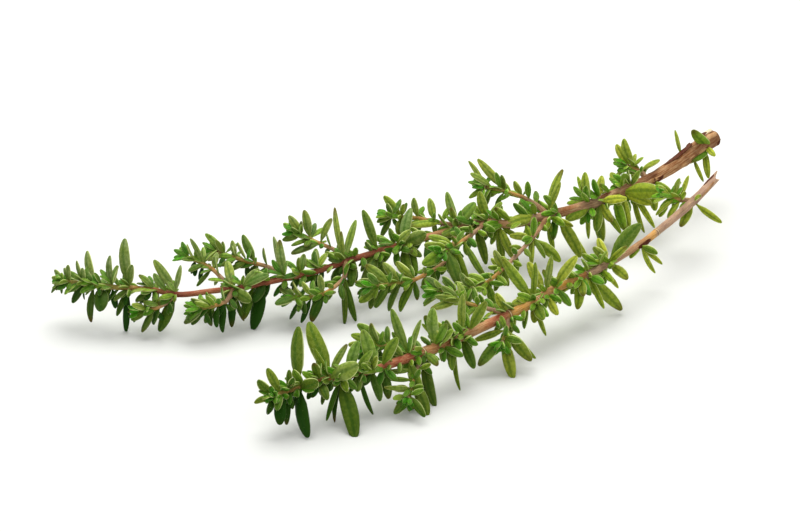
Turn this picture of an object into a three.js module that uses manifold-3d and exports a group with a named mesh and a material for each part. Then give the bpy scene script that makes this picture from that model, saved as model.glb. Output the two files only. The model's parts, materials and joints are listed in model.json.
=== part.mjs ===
// Two cut sprigs of thyme lying side by side on their lower leaves. Millimetres, +Z up.
// +X runs to the cut ends, +Y away from the front, and the surface is z = 0.
import * as THREE from "three";
import { mergeVertices } from "three/addons/utils/BufferGeometryUtils.js";
import Module from "manifold-3d";

const wasm = await Module();
wasm.setup();

// Places are read on a board that leans back from upright: x along it, u up it, and n out of
// it to the front. A stem point is [x, u, z] with z its height over the surface. A leaf is
// [x, u, n] with n how far its tip stands out in front of the node that it grows from, and its
// width follows where that isn't the usual share of its length.
const boardLean = THREE.MathUtils.degToRad(30);
const up = new THREE.Vector3(0, Math.sin(boardLean), Math.cos(boardLean));
const out = new THREE.Vector3(0, -Math.cos(boardLean), Math.sin(boardLean));
const centre = new THREE.Vector3(-3, -22, 0);    // board point that becomes the origin

const leafThickness = 0.7;
const leafSlimness = 0.32;       // a leaf's width as a share of its length
const widestLeaf = 3.9;
const narrowestLeaf = 1.2;
const leafBulge = 0.09;          // how far a leaf arches, as a share of its length
const widestAt = 1.3;            // a power over 1 moves the widest place towards the tip
const bluntness = 0.6;           // a power under 1 makes the tip and the foot rounder
const ringCrowding = 1.4;        // a power over 1 crowds a leaf's rings towards its tip
const listedRings = 3;           // cross-sections of a leaf
const rosetteRings = 2;
const youngRings = 1;
const faceJitter = 1;            // how far a leaf's face turns at random
const faceForward = 0.6;         // pulls on the face: to the stem's tip, to the front and up
const faceFront = 0.4;
const faceUp = 0.5;
const pressedFlat = 0.5;         // how far a low leaf tip is flattened by the surface
const youngLean = [0.65, 1.15];  // radians that a young leaf leans away from the stem
const youngLength = [0.75, 1.25];
const rosetteLeaves = 6;         // at a side shoot's tip
const rosetteLean = [0.3, 0.9];
const rootDepth = 0.6;           // where in the stem a leaf's root is, as a share of its radius
const stemSides = 8;
const twigSides = 6;
const shootThick = [0.9, 0.8, 0.7];
const jointGap = 0.3;            // between a side shoot and the stem that it grows from
const obliqueStart = 1.4;        // a shoot leaves its stem at a slant, so it starts further out
const mergeDistance = 0.001;     // corners closer than this are one
const smallestStep = 0.02;       // finer steps where blades meet are smoothed over
const clearance = 0.35;          // between leaves of neighbouring stems
const roomShares = [0.3, 0.5, 0.7, 0.9];   // places along a leaf where its room is measured
const roomOfWidth = 0.35;        // a leaf's room there, as a share of its width
const shareStep = 0.002;
const surfaceWidth = 400;
const surfaceDepth = 40;

const leafGreen = { color: 0x4f7d2c, roughness: 0.6, metalness: 0 };
const shootGreen = { color: 0x5f9334, roughness: 0.6, metalness: 0 };

// The main stems, from the tip to the cut end. Each node has its place along x, its leaves,
// and the number and size of the young leaves round it.
const rearStem = {
  name: "rear_stem",
  look: leafGreen,
  seed: 11,
  thick: [0.9, 1, 1.1, 1.15, 1.2, 1.3, 1.5, 1.8, 2.1, 2.5, 3.4],
  route: [
    [-78.6, -3.6, 10.4], [-73, -4.1, 10.2], [-66, -4.9, 9.9], [-58, -5.4, 9.5],
    [-51, -6.6, 9.2], [-43, -5.7, 9.2], [-36, -4.9, 9.3], [-28, -3.2, 9.5],
    [-20, -1.4, 10], [-12.6, 1, 10.4], [-4, 3.7, 10.4], [4, 6, 10.3], [15.1, 9.2, 10.2],
    [19.8, 10.2, 10.2], [26, 9.8, 10.2], [34, 11.6, 10.2], [45, 14.6, 10.3],
    [50.5, 17, 10.8], [57.7, 19.8, 11.6], [66, 24.8, 13.2], [73.2, 30.2, 14.8],
  ],
  nodes: [
    { x: -78.2, leaves: [[-80.6, -2.6, 0.5], [-80.4, -4, 2], [-79.6, -5.6, 0]], young: 4, size: 3 },
    { x: -76.4, leaves: [[-77.7, -0.4, 0], [-76.7, 0.3, 2]], young: 2, size: 3 },
    { x: -73.2, leaves: [[-74.8, 1.3, 0.5, 1.3], [-75.8, -8.6, 1], [-73.4, -0.4, 3]],
      young: 2, size: 3.4 },
    { x: -70.7, leaves: [[-72.8, 3.6, -0.5], [-71.7, -13.2, -1, 1.9]], young: 2, size: 3.4 },
    { x: -69.2, leaves: [[-69, -10.5, 4, 4.1]], young: 1, size: 3.4 },
    { x: -66.5, leaves: [[-67.2, 2.5, 0.5, 1.9], [-65.4, 0.2, 2.5]], young: 3, size: 3.4 },
    { x: -62.6, leaves: [[-63.8, 6.5, -1, 3], [-63.6, -15.6, -2, 1.9], [-66.2, -8, 2],
      [-65.6, -11.6, 0, 1.7], [-62, 0.3, 3]], young: 2, size: 3.8 },
    { x: -57, leaves: [[-60.4, -2, 1], [-61.8, -5.8, 3], [-61.2, -8.2, 1.5]], young: 2, size: 3.4 },
    { x: -51.8, leaves: [[-57, 1.6, 0, 2.4], [-50.8, 0.3, -1, 1.6], [-55.8, -15.2, -1.5]],
      young: 2, size: 3.4 },
    { x: -38.6, leaves: [[-34.4, -8.2, 3, 3], [-38.9, -14.2, 1.5, 2.1], [-36.2, -13, -0.5, 1.3],
      [-40.2, 1.4, -3]], young: 2, size: 3.8 },
    { x: -36.4, leaves: [[-32.5, -0.7, 1], [-30.4, -1.8, 2.5]] },
    { x: -31.4, leaves: [[-33.8, -8.4, 3, 3], [-34.1, -14.9, -0.5]] },
    { x: -26.6, leaves: [[-29.3, 6.9, -1, 1.7], [-27.9, 6.2, 0.5, 2.2], [-26, -8.6, -3]],
      young: 3, size: 3.8 },
    { x: -23, leaves: [[-23.4, 2, 1.5, 1.8]], young: 1, size: 3.4 },
    { x: -19.2, leaves: [[-19.6, 4.2, -1], [-16.9, 3.2, 0.5]], young: 1, size: 3.4 },
    { x: -12.8, leaves: [[-15.3, 13.8, -3, 1.6], [-13.7, 8.1, 1, 1.3], [-10.2, 10.8, 0, 1.9],
      [-16.6, 1.5, 2.5]], young: 2, size: 3.8 },
    { x: -10.6, leaves: [[-11.4, -4.6, 4.5]] },
    { x: -5, leaves: [[-8.8, 13.1, 0, 2.6], [-9.6, -0.1, 2.5, 1.3], [-8.9, -4.9, 5, 2.8],
      [-3.6, -4.5, -3]], young: 2, size: 3.8 },
    { x: -1, leaves: [[-2.5, 8.8, 1], [2.4, 8.3, 2.5]] },
    { x: 0.8, leaves: [[6, 7.6, 4, 3.5], [5, 2.2, 3], [2.2, -2.8, 4.5], [2.5, 13.5, -3]],
      young: 3, size: 3.8 },
    { x: 13.4, leaves: [[10.8, 17.4, -1, 2.1], [11.7, 13.6, 1.5], [17.4, 15, -0.5, 3],
      [9.8, 7, 3.5, 3]], young: 1, size: 3.8 },
    { x: 17.6, leaves: [[14.4, 5, 1.5], [20, 0.3, 1.5, 2.4]], young: 1, size: 3.4 },
    { x: 20.4, leaves: [[18.4, 17.4, 1], [23.6, 15, 1], [21.2, 6.6, 4]], young: 3, size: 3.8 },
    { x: 23.2, leaves: [[23.8, 0.8, 1, 2.2], [26, 1.8, 3, 2.2], [28.8, 5.9, 0, 1.4]] },
    { x: 31.6, leaves: [[24.6, 9.6, 3.5, 3]] },
    { x: 34.6, leaves: [[37.7, 22.8, -0.5, 2.1], [37.2, 19.6, 1.5, 1.7], [35.8, 4, -1, 1.6],
      [40.3, 9.2, 3, 1.6]], young: 1, size: 3.6 },
    { x: 36.6, leaves: [[42, 1.9, 2, 3], [43.7, 1.2, -1.5, 2.2]] },
    { x: 44, leaves: [[43, 21.9, 0], [41.3, 20.9, -2, 1.3], [38.6, 10.8, 3.5, 3.2],
      [43.9, 6.3, -2, 1.3]], young: 2, size: 3.8 },
    { x: 46.4, leaves: [[47, 21.1, -1, 2.3], [52.7, 15.8, 4], [49.3, 10.3, 4, 2.4], [46.9, 5.2, -5],
      [51.4, 7.4, 2, 1.7], [45.6, 8, 4]], young: 3, size: 4 },
    { x: 51.8, leaves: [[60.5, 17.3, 5, 4.3], [58.6, 14.4, 3.5], [53.2, 8.8, 3.5, 2.4],
      [49, 22, -3, 2.2]], young: 1, size: 3.6 },
    { x: 53.8, leaves: [[52.9, 22.3, 2.5], [55.6, 22.2, 3.5], [56.9, 7.6, 1.5, 1.4],
      [59.3, 8.8, 4, 1.6]], young: 1, size: 3.6 },
    { x: 58.6, leaves: [[63.4, 16.8, 2], [59.4, 12.6, -2]], young: 1, size: 3.4 },
    { x: 66.2, leaves: [[64.1, 31.8, -0.5, 1.1]] },
    { x: 67.8, leaves: [[70.8, 19.6, 2, 1.1]] },
    { x: 70.6, leaves: [[68.4, 31, 3, 1.7], [73.5, 25.6, 3.5], [67.6, 24, 3, 1.5],
      [72, 20.4, 3, 1.8]] },
  ],
};

const frontStem = {
  name: "front_stem",
  look: leafGreen,
  seed: 23,
  thick: [0.9, 1.2, 1.9, 1.7, 1.5, 2.1],
  route: [
    [-29.2, -30, 9], [-23, -27.7, 9], [-17, -26, 9.2], [-10, -24.8, 9.4], [-4.5, -23.4, 9.6],
    [0, -21.8, 9.8], [5.3, -19.9, 10], [14, -16.2, 10], [25, -11.3, 10], [30.5, -8.6, 10.1],
    [36, -5.2, 10.2], [42.8, -2.3, 10.3], [48, 0.4, 10.4], [56, 5.2, 11], [62, 9.8, 11.8],
    [68, 14.9, 12.8], [73.6, 20.6, 14],
  ],
  nodes: [
    { x: -29, leaves: [[-32.7, -26.2, 1.5, 2.4], [-33.5, -31.4, 0], [-31.6, -30.6, 3.5],
      [-30.2, -33.8, 2]], young: 3, size: 3.6 },
    { x: -27.4, leaves: [[-30.5, -23.4, 0], [-27.6, -36.5, 2, 3], [-28.2, -33, 4.5]],
      young: 1, size: 3.6 },
    { x: -25.4, leaves: [[-26.3, -36.7, -1, 1.9], [-25.4, -23.8, 0.5], [-24.4, -25.6, 3.5]],
      young: 1, size: 3.4 },
    { x: -23, leaves: [[-23.3, -13.8, -0.5], [-21.3, -39.5, 3.4], [-18.8, -26.4, 6.5, 3.2]],
      young: 2, size: 3.8 },
    { x: -18.4, leaves: [[-19.8, -22.2, 3, 2.4], [-16.6, -30.6, 4.5]], young: 1, size: 3.6 },
    { x: -16, leaves: [[-21, -12.4, -2], [-9.6, -22.6, 5.5, 4.3], [-19.8, -18.8, 0.5, 1.6],
      [-12.2, -17.8, -1.5, 1.9], [-18, -31.9, 1, 1.4]], young: 1, size: 3.8 },
    { x: -13.6, leaves: [[-10.4, -40, 6.2], [-17, -35.6, 2.5, 1.4], [-15, -36, 0, 1.3],
      [-12, -28.8, 5]], young: 1, size: 3.6 },
    { x: -9.4, leaves: [[-9.8, -28.8, 3.5, 2.2], [-6.2, -34.3, 0, 1.3]], young: 1, size: 3.4 },
    { x: -6.4, leaves: [[-4.5, -31.1, 3], [-8.8, -22.6, 4], [-5.4, -20.8, 4.5]],
      young: 3, size: 3.8 },
    { x: -4, leaves: [[-0.5, -16.4, 3, 3]] },
    { x: 2.2, leaves: [[-2, -9.8, -0.5, 2.5], [4.8, -12.3, 2, 1.5]] },
    { x: 5.3, leaves: [[8, -32.5, 1.6, 2.9], [8.7, -22.8, 3.5, 2.2], [3.4, -17, -3]],
      young: 2, size: 3.4 },
    { x: 9.6, leaves: [[5, -13.3, 1, 1.3], [8.2, -14.8, 3.5, 2.4], [9.6, -22, -2]],
      young: 1, size: 3.4 },
    { x: 12.4, leaves: [[7.4, -12.8, 2, 2.4], [12, -24, 5, 2.2], [13.7, -28.8, 1.5, 1.3],
      [10.6, -12.6, 5]], young: 3, size: 3.8 },
    { x: 14.3, leaves: [[14.5, -6.4, 2, 2.1], [17, -23.7, 2]] },
    { x: 16, leaves: [[19.9, -8.1, 3]] },
    { x: 25, leaves: [[22.1, -6.2, 1, 2.4]], young: 1, size: 3.4 },
    { x: 30.9, leaves: [[23.6, 1.8, 2.5, 2.8], [25.9, -8.6, 3.5, 2.4], [33, -12.3, 5, 2.6],
      [31.2, 0.9, 2, 1.7], [31, -13.2, 1, 2.2], [33.7, -16.2, 1.5, 1.3]], young: 2, size: 3.8 },
    { x: 33.8, leaves: [[35, 2.5, 1, 1.8], [36.4, -11.3, 3.5], [29.5, 1, -2]],
      young: 2, size: 3.6 },
    { x: 35.8, leaves: [[40.9, 2.4, 3], [37.1, -8.8, -1]] },
    { x: 41.6, leaves: [[36.6, -6.4, 2.5, 1.3], [40.9, -9.9, 4], [42.4, -6.8, 5]],
      young: 1, size: 3.6 },
    { x: 43.6, leaves: [[51.5, -10.4, -4.5, 3.1], [47.2, -9.9, 3.5, 1.7], [47.4, -3.2, -2]],
      young: 2, size: 3.6 },
    { x: 46.6, leaves: [[50.6, -5.2, 1, 1.3]] },
    { x: 48.4, leaves: [[55.8, 9.8, 1.5], [43, 0.4, 2.5], [52.7, -3, 3.5, 2.5],
      [44.7, 4.4, 1.5, 2.2], [45.8, 6.5, -1], [52.5, 4.6, 4.5, 1.7]], young: 2, size: 3.8 },
    { x: 55.6, leaves: [[53.3, 1.9, 2.5], [59.7, 2.8, 2.5], [60.9, 0.3, 0, 1.3],
      [59.2, -1.7, 1.5, 1.3]] },
    { x: 68.2, leaves: [[69.9, 16.4, 3], [65.1, 9.1, 1.5], [74.9, 9.8, 0, 1.8], [66.2, 10.8, -2]] },
  ],
};

// Side shoots, from the stem that carries them to their own tip, with the size of the leaves
// in their tip's rosette
const rearShoots = [
  { route: [[-38.6, -5.2, 9.2], [-41, -3, 10.2], [-44.2, -0.2, 11.2], [-49, 2, 12]], size: 3.8,
    nodes: [
      { x: -43.4, leaves: [[-47.1, -4.7, 1.5, 1.3], [-42.4, 3.2, -1.5]] },
      { x: -45.4, leaves: [[-48.6, 6.4, -0.5, 1.3], [-49, -1.1, 2], [-43.6, 3.4, 1.5]],
        young: 1, size: 3 },
      { x: -47.4, leaves: [[-49.5, 5, 2], [-48.4, -1.8, -2]], young: 1, size: 3 },
    ] },
  { route: [[-26.6, -2.8, 9.6], [-30, -0.4, 10.6], [-36, 1.2, 11.6], [-42.6, 3.4, 12.4]], size: 4,
    nodes: [
      { x: -33.4, leaves: [[-36.6, 7.3, -0.5], [-35, -3.2, -3]] },
      { x: -35.4, leaves: [[-37.6, 5.5, 1.5], [-39.7, -1.2, 1]] },
      { x: -38, leaves: [[-39, 6, -1], [-41.4, 0, 2]], young: 1, size: 3 },
      { x: -40.6, leaves: [[-45.2, 7.7, -1, 1.8], [-44.6, 1.2, 1.5], [-42.8, 6, 2]],
        young: 1, size: 3 },
    ] },
  { route: [[-38.6, -5.2, 9.2], [-40, -8, 8.2], [-42.8, -9.2, 7.6], [-46.4, -10, 7.2]], size: 3.8,
    nodes: [
      { x: -40.4, leaves: [[-41.1, -15.5, 0, 1.7]] },
      { x: -42, leaves: [[-42.5, -14.2, 2], [-44.4, -6.4, -2]] },
      { x: -43.8, leaves: [[-43.6, -13.9, -1.5], [-48.4, -7.6, 0.5], [-47.4, -8.4, 3]],
        young: 1, size: 3 },
      { x: -45.4, leaves: [[-50, -13.2, 1.5], [-48.2, -13.6, -1]], young: 1, size: 3 },
    ] },
  { route: [[-51.8, -6.5, 9.2], [-54.2, -8.6, 7.8], [-57, -9.9, 6.4], [-60, -10.4, 5.8]], size: 3,
    nodes: [
      { x: -56.8, leaves: [[-59.9, -15.3, 0.5]] },
      { x: -58.6, leaves: [[-62, -8.8, 2], [-62.2, -12.5, 0.5, 1.9], [-58.8, -7, -2]],
        young: 1, size: 3 },
    ] },
  { route: [[-12.6, 1, 10.4], [-15, 3.6, 12], [-19, 5.4, 13], [-24, 7.8, 14.2]], size: 3.4,
    nodes: [
      { x: -18.4, leaves: [[-16.1, 11.2, 2], [-25.3, 2.9, 2]] },
      { x: -20.8, leaves: [[-22.5, 13.1, -0.5], [-25.2, 4.7, 3, 1.3], [-19.6, 10, -2.5]],
        young: 1, size: 3 },
      { x: -22.8, leaves: [[-25.8, 11.7, 0.5], [-27.4, 6.1, 0], [-22.9, 10.4, 2.5]],
        young: 1, size: 3 },
    ] },
  { route: [[-12.6, 1, 10.4], [-12.9, -2.4, 9.2], [-15.5, -5.1, 8.2], [-19, -6.9, 7.4],
    [-24.6, -7.4, 6.8]], size: 3.4,
    nodes: [
      { x: -12.95, leaves: [[-13, -13.9, 1, 1.5], [-10.2, -12.9, 0, 1.9]] },
      { x: -17.8, leaves: [[-20.6, -12.9, 1.5], [-18.6, -2, 2]] },
      { x: -20.4, leaves: [[-22.9, -13.2, 0, 1.5], [-22.6, -3.6, 1]] },
      { x: -22.6, leaves: [[-25.6, -12.4, -1, 1.3], [-24.8, -3.6, 1.5], [-22, -11, 2.5]],
        young: 1, size: 3 },
      { x: -24.2, leaves: [[-28.9, -8.8, 2.5, 2.6], [-27.9, -5.2, 0.5]], young: 1, size: 3 },
    ] },
  { route: [[14.4, 9.1, 10.2], [8.4, 10.2, 11.4], [4, 11.1, 12.2], [-2.6, 11.6, 13]], size: 3,
    nodes: [
      { x: 9.6, leaves: [[1.8, 9.4, 3]] },
      { x: 7.8, leaves: [[6.8, 15.8, -0.5]] },
      { x: 4, leaves: [[3.2, 15.9, 0], [1.4, 7.6, 2]] },
      { x: 0.4, leaves: [[-3.8, 16.3, -0.5], [-0.4, 7.3, 2.5, 2.4], [1, 14.4, 2]],
        young: 1, size: 3 },
      { x: -1.8, leaves: [[-4.6, 6.8, 1], [-5.4, 10.2, 2], [-3, 14.6, 1.5]], young: 1, size: 3 },
    ] },
  { route: [[34.6, 11.7, 10.2], [30.6, 15, 12.4], [26, 16.9, 14], [19.6, 18.5, 15.8]], size: 3,
    nodes: [
      { x: 28.4, leaves: [[26.5, 19.8, -0.5, 1.9], [28, 12.6, 1]] },
      { x: 24.4, leaves: [[18, 25, -1, 2.2], [22.2, 13.6, 1.5], [23.6, 21.2, 1]] },
      { x: 21.2, leaves: [[16.4, 21.7, 1.5], [20, 14, -1]], young: 1, size: 3 },
      { x: 19.8, leaves: [[15.9, 24.5, -1, 1.3], [16, 15.8, 0.5]], young: 1, size: 3 },
    ] },
  { route: [[57.7, 19.8, 11.6], [56.4, 21.6, 12.8], [54.6, 22.7, 13.6], [52.8, 23.4, 14.2]],
    size: 2.4,
    nodes: [
      { x: 56, leaves: [[60.6, 24.8, -0.5]] },
      { x: 54.2, leaves: [[52, 29.7, 1.5], [54.9, 26.3, -1.5]] },
      { x: 53, leaves: [[50.4, 28.4, -0.5], [49.2, 19.4, 1]] },
    ] },
  { route: [[19.8, 10.2, 10.2], [17, 7.6, 11.8], [13.4, 5.2, 12.8], [10, 3.4, 13.4]], size: 3.6,
    nodes: [
      { x: 14.6, leaves: [[20, -2.9, 2.5, 1.8]] },
      { x: 12.6, leaves: [[15.8, -3.7, 1, 2.4], [6.6, 6.9, -0.5]] },
      { x: 10.9, leaves: [[5.2, 0.3, 3, 3.2], [5.6, 5, 1.5, 2.4], [13.6, -4.4, 3.5]],
        young: 1, size: 3.6 },
    ] },
  { route: [[34.6, 11.7, 10.2], [31, 6.8, 9.4], [26.4, 1.8, 9], [23.6, -0.9, 8.8],
    [20.4, -3.6, 8.6], [16, -5.6, 8.6], [8.6, -6, 8.6]], size: 4.2,
    nodes: [
      { x: 30.8, leaves: [[25.4, 7, 0], [33.7, 1.8, 2.5, 1.3], [37.3, 1, 0], [30.6, 0.2, 3, 1.4]] },
      { x: 23.8, leaves: [[21.8, 3.7, 1.5], [21, 1.8, -1], [25.1, -4.7, 1]] },
      { x: 20.2, leaves: [[15.8, -2, -1.5], [21.8, -9.6, 0]] },
      { x: 16.4, leaves: [[14, -1.6, 0.5], [15.2, -9.8, -1]], young: 1, size: 3.4 },
      { x: 13, leaves: [[9.8, -2.4, 1.5], [9, -10, 0]], young: 1, size: 3.6 },
      { x: 10, leaves: [[5.3, -9.1, 1], [6, -2.6, 0.5]], young: 2, size: 3.6 },
    ] },
  { route: [[13.4, 8.6, 10.2], [12.2, 4.4, 9.2], [10.4, 0.9, 8.8], [4, -2.9, 8.4], [-0.4, -3.9, 8.2],
    [-6.4, -4.7, 8.2]], size: 4.2,
    nodes: [
      { x: 8, leaves: [[7, -7, -1]] },
      { x: 3.4, leaves: [[-0.2, -10.6, 1, 2.1], [-1, 1, 0.5]] },
      { x: 0, leaves: [[-2.8, -10.4, 2, 1.8], [-4, 0.8, -1]] },
      { x: -2.6, leaves: [[-5.8, -9.7, 1.5], [-8, 0.4, 0.5]], young: 1, size: 3.6 },
      { x: -5, leaves: [[-9.7, -3.4, 0.5], [-7.2, -10, -1], [-9.5, -8.4, 1.5, 2.5]],
        young: 2, size: 3.6 },
    ] },
];

const frontShoots = [
  { route: [[5.3, -19.9, 10], [2, -18.6, 11], [-2, -18.3, 11.6], [-7, -18.7, 12]], size: 3.8,
    nodes: [
      { x: -2.8, leaves: [[-10, -13.4, -1], [-3, -13.8, -2]] },
      { x: -4.8, leaves: [[-6.8, -13.1, 1], [-11.3, -15.8, 1], [-9, -23, 1.5]],
        young: 1, size: 3.4 },
      { x: -6.2, leaves: [[-12, -18, -0.5], [-8, -15.6, 3]], young: 2, size: 3.4 },
    ] },
  { route: [[5.3, -19.9, 10], [4.2, -23, 8.2], [3.1, -26.6, 6.2], [1.9, -30.4, 4.2]], size: 3,
    nodes: [
      { x: 3.9, leaves: [[-4, -24.2, 0.5, 1.3]] },
      { x: 3.2, leaves: [[-3.2, -25.9, 2, 1.3], [6.3, -34.9, 1.5]] },
      { x: 2.6, leaves: [[-1.7, -28.2, -1, 1.9], [-3.7, -27.9, 3, 1.3], [5.8, -30.4, -1]] },
      { x: 2.1, leaves: [[-1.3, -34, 1.5, 2.2], [5.6, -34.7, 3.5]] },
    ] },
  { route: [[25, -11.3, 10], [24.8, -13.4, 9], [24.3, -15.6, 8], [23.6, -17.6, 7]], size: 3.6,
    nodes: [
      { x: 24.5, leaves: [[17, -17.2, 0.5, 1.9], [30.3, -21.9, 3], [31.4, -21.4, -0.5, 1.6]] },
      { x: 24, leaves: [[18, -23, 2], [28.1, -17.5, 3.5], [26.1, -26.5, 0.5]], young: 1, size: 3 },
    ] },
  { route: [[25, -11.3, 10], [20.8, -10, 10.8], [17, -9, 11.2], [12.6, -7.8, 11.6]], size: 3.4,
    nodes: [
      { x: 18, leaves: [[16.4, -4.6, -1], [15, -11.8, 2]] },
      { x: 15.2, leaves: [[8, -6.9, 1.5, 1.9], [13.4, -3.8, 0]] },
      { x: 13.6, leaves: [[7, -9.9, 2], [9.6, -4.6, 0]], young: 1, size: 3.4 },
    ] },
  { route: [[68.2, 15.1, 12.8], [66, 15.3, 13.4], [64, 15.7, 13.8], [61.8, 16.5, 14.2]],
    size: 2.4,
    nodes: [
      { x: 65.4, leaves: [[67.1, 21.1, -0.5, 1.4], [62, 11.2, 1]] },
      { x: 63.9, leaves: [[64.9, 20.5, 0.5], [59.4, 11.9, 2, 1.3]] },
      { x: 62.6, leaves: [[60.2, 18.6, 1, 1.6], [58.8, 14.8, 2]] },
    ] },
];

// A small repeatable source of numbers from 0 to 1
function seededDraw(seed) {
  let state = seed;
  return () => {
    state = (Math.imul(state, 1664525) + 1013904223) >>> 0;
    return state / 4294967296;
  };
}

function boardPoint([x, u, z]) {
  return new THREE.Vector3(x, (u - z * up.z) / up.y, z);
}

function mix(from, to, share) {
  return from + (to - from) * share;
}

// The stem's thickness at a share of its length, between evenly spaced values
function thickAt(thick, share) {
  const place = Math.min(share, 0.9999) * (thick.length - 1);
  const step = Math.floor(place);
  return mix(thick[step], thick[step + 1], place - step);
}

// Forward, sideways and upright directions of a stem at a share of its route
function frameAt(curve, share) {
  const forward = curve.getTangent(share);
  const side = new THREE.Vector3().crossVectors(forward, new THREE.Vector3(0, 0, 1)).normalize();
  const top = new THREE.Vector3().crossVectors(side, forward);
  return { point: curve.getPoint(share), forward, side, top };
}

function stemCurve(route) {
  return new THREE.CatmullRomCurve3(route.map(boardPoint), false, "catmullrom", 0.5);
}

// The share of a stem's route at which it passes x
function shareAtX(curve, x) {
  const rising = curve.getPoint(1).x > curve.getPoint(0).x;
  let low = 0;
  let high = 1;
  for (let halving = 0; halving < 30; halving += 1) {
    const middle = (low + high) / 2;
    if ((curve.getPoint(middle).x < x) === rising) low = middle;
    else high = middle;
  }
  return low;
}

function solidFrom(geometry) {
  geometry.deleteAttribute("normal");
  geometry.deleteAttribute("uv");
  const merged = mergeVertices(geometry, mergeDistance);
  return new wasm.Manifold(new wasm.Mesh({
    numProp: 3,
    vertProperties: new Float32Array(merged.attributes.position.array),
    triVerts: new Uint32Array(merged.index.array),
  }));
}

// A tapering round stem: a cylinder bent along the route
function stemSolid(stem) {
  const steps = (stem.route.length - 1) * stem.stepsPerPoint;
  const geometry = new THREE.CylinderGeometry(1, 1, 1, stem.sides, steps);
  const spots = geometry.attributes.position;
  for (let i = 0; i < spots.count; i += 1) {
    const share = mix(stem.startShare, 1, spots.getY(i) + 0.5);
    const { point, side, top } = frameAt(stem.curve, share);
    const radius = thickAt(stem.thick, share) / 2;
    point.addScaledVector(side, spots.getX(i) * radius);
    point.addScaledVector(top, spots.getZ(i) * radius);
    spots.setXYZ(i, point.x, point.y, point.z);
  }
  return solidFrom(geometry);
}

// A leaf's width along its length, narrow at the foot, widest past the middle, blunt at the tip
function leafWidth(leaf, share) {
  return leaf.width * Math.sin(Math.PI * share ** widestAt) ** bluntness;
}

function leafPoint(leaf, share) {
  const { root, bend, tip } = leaf;
  const back = 1 - share;
  return new THREE.Vector3()
    .addScaledVector(root, back * back)
    .addScaledVector(bend, 2 * back * share)
    .addScaledVector(tip, share * share);
}

// A slim lens-shaped blade: a coarse ball drawn out along the leaf's midline
function leafSolid(leaf) {
  const geometry = new THREE.SphereGeometry(1, 4, leaf.rings + 1);
  const spots = geometry.attributes.position;
  for (let i = 0; i < spots.count; i += 1) {
    const fromRoot = Math.acos(THREE.MathUtils.clamp(spots.getY(i), -1, 1)) / Math.PI;
    const atPole = fromRoot < 0.01 || fromRoot > 0.99;
    const share = 1 - (1 - fromRoot) ** ringCrowding;
    const ring = atPole ? 1 : Math.hypot(spots.getX(i), spots.getZ(i));
    const wide = atPole ? 0 : leafWidth(leaf, share) / 2;
    const thick = atPole ? 0 : leafThickness / 2;
    const point = leafPoint(leaf, share);
    point.addScaledVector(leaf.side, (spots.getX(i) / ring) * wide);
    point.addScaledVector(leaf.face, (spots.getZ(i) / ring) * thick);
    spots.setXYZ(i, point.x, point.y, point.z);
  }
  return solidFrom(geometry);
}

// A leaf from a point inside the stem to its tip. It turns its face up, to the front and to
// the stem's own tip, and arches a little. A low tip is bent up onto the surface.
function makeLeaf(root, tip, forward, draw, rings) {
  tip.z = Math.max(tip.z, -pressedFlat);
  const along = new THREE.Vector3().subVectors(tip, root);
  const length = along.length();
  along.normalize();
  const face = new THREE.Vector3(draw() - 0.5, draw() - 0.5, draw() - 0.5)
    .multiplyScalar(faceJitter)
    .addScaledVector(forward, faceForward)
    .addScaledVector(out, faceFront);
  face.z += faceUp;
  face.addScaledVector(along, -face.dot(along)).normalize();
  const side = new THREE.Vector3().crossVectors(face, along);
  const bend = new THREE.Vector3().addVectors(root, tip).multiplyScalar(0.5)
    .addScaledVector(face, 2 * leafBulge * length);
  const width = THREE.MathUtils.clamp(leafSlimness * length, narrowestLeaf, widestLeaf);
  return { root, tip, bend, face, side, width, rings };
}

// A leaf that leaves the stem at an angle round it (roll) and away from its line (lean)
function leafAround(frame, roll, lean, length, draw, rings) {
  const away = new THREE.Vector3()
    .addScaledVector(frame.side, Math.cos(roll))
    .addScaledVector(frame.top, Math.sin(roll));
  const root = frame.point.clone().addScaledVector(away, rootDepth * frame.radius);
  const tip = root.clone()
    .addScaledVector(frame.forward, Math.cos(lean) * length)
    .addScaledVector(away, Math.sin(lean) * length);
  return makeLeaf(root, tip, frame.forward, draw, rings);
}

// A stem's leaves: those listed at each node, its young leaves all round, and the rosette at
// the tip of a side shoot
function growLeaves(stem) {
  const draw = seededDraw(stem.seed);
  const leaves = [];
  for (const { x: nodeX, leaves: tips, young = 0, size = 3 } of stem.nodes) {
    const share = shareAtX(stem.curve, nodeX);
    const frame = frameAt(stem.curve, share);
    frame.forward.multiplyScalar(stem.tipward);
    frame.radius = thickAt(stem.thick, share) / 2;
    for (const [x, u, n, width] of tips) {
      const reach = new THREE.Vector3(x - frame.point.x, 0, 0)
        .addScaledVector(up, u - frame.point.dot(up))
        .addScaledVector(out, n);
      const tip = frame.point.clone().add(reach);
      const away = reach.addScaledVector(frame.forward, -reach.dot(frame.forward)).normalize();
      const root = frame.point.clone().addScaledVector(away, rootDepth * frame.radius);
      const leaf = makeLeaf(root, tip, frame.forward, draw, listedRings);
      leaves.push({ ...leaf, width: width ?? leaf.width, listed: true });
    }
    for (let k = 0; k < young; k += 1) {
      const roll = ((k + 0.6 * draw()) / young) * 2 * Math.PI;
      const lean = mix(...youngLean, draw());
      const length = size * mix(...youngLength, draw()) + (1 - rootDepth) * frame.radius;
      leaves.push(leafAround(frame, roll, lean, length, draw, youngRings));
    }
  }
  if (stem.size) {
    const end = frameAt(stem.curve, 1);
    end.radius = stem.thick.at(-1) / 2;
    for (let k = 0; k < rosetteLeaves; k += 1) {
      const turn = ((k + 0.4 * draw()) * 2 * Math.PI) / rosetteLeaves;
      const lean = mix(...rosetteLean, draw());
      leaves.push(leafAround(end, turn, lean, stem.size, draw, rosetteRings));
    }
  }
  return leaves;
}

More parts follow.
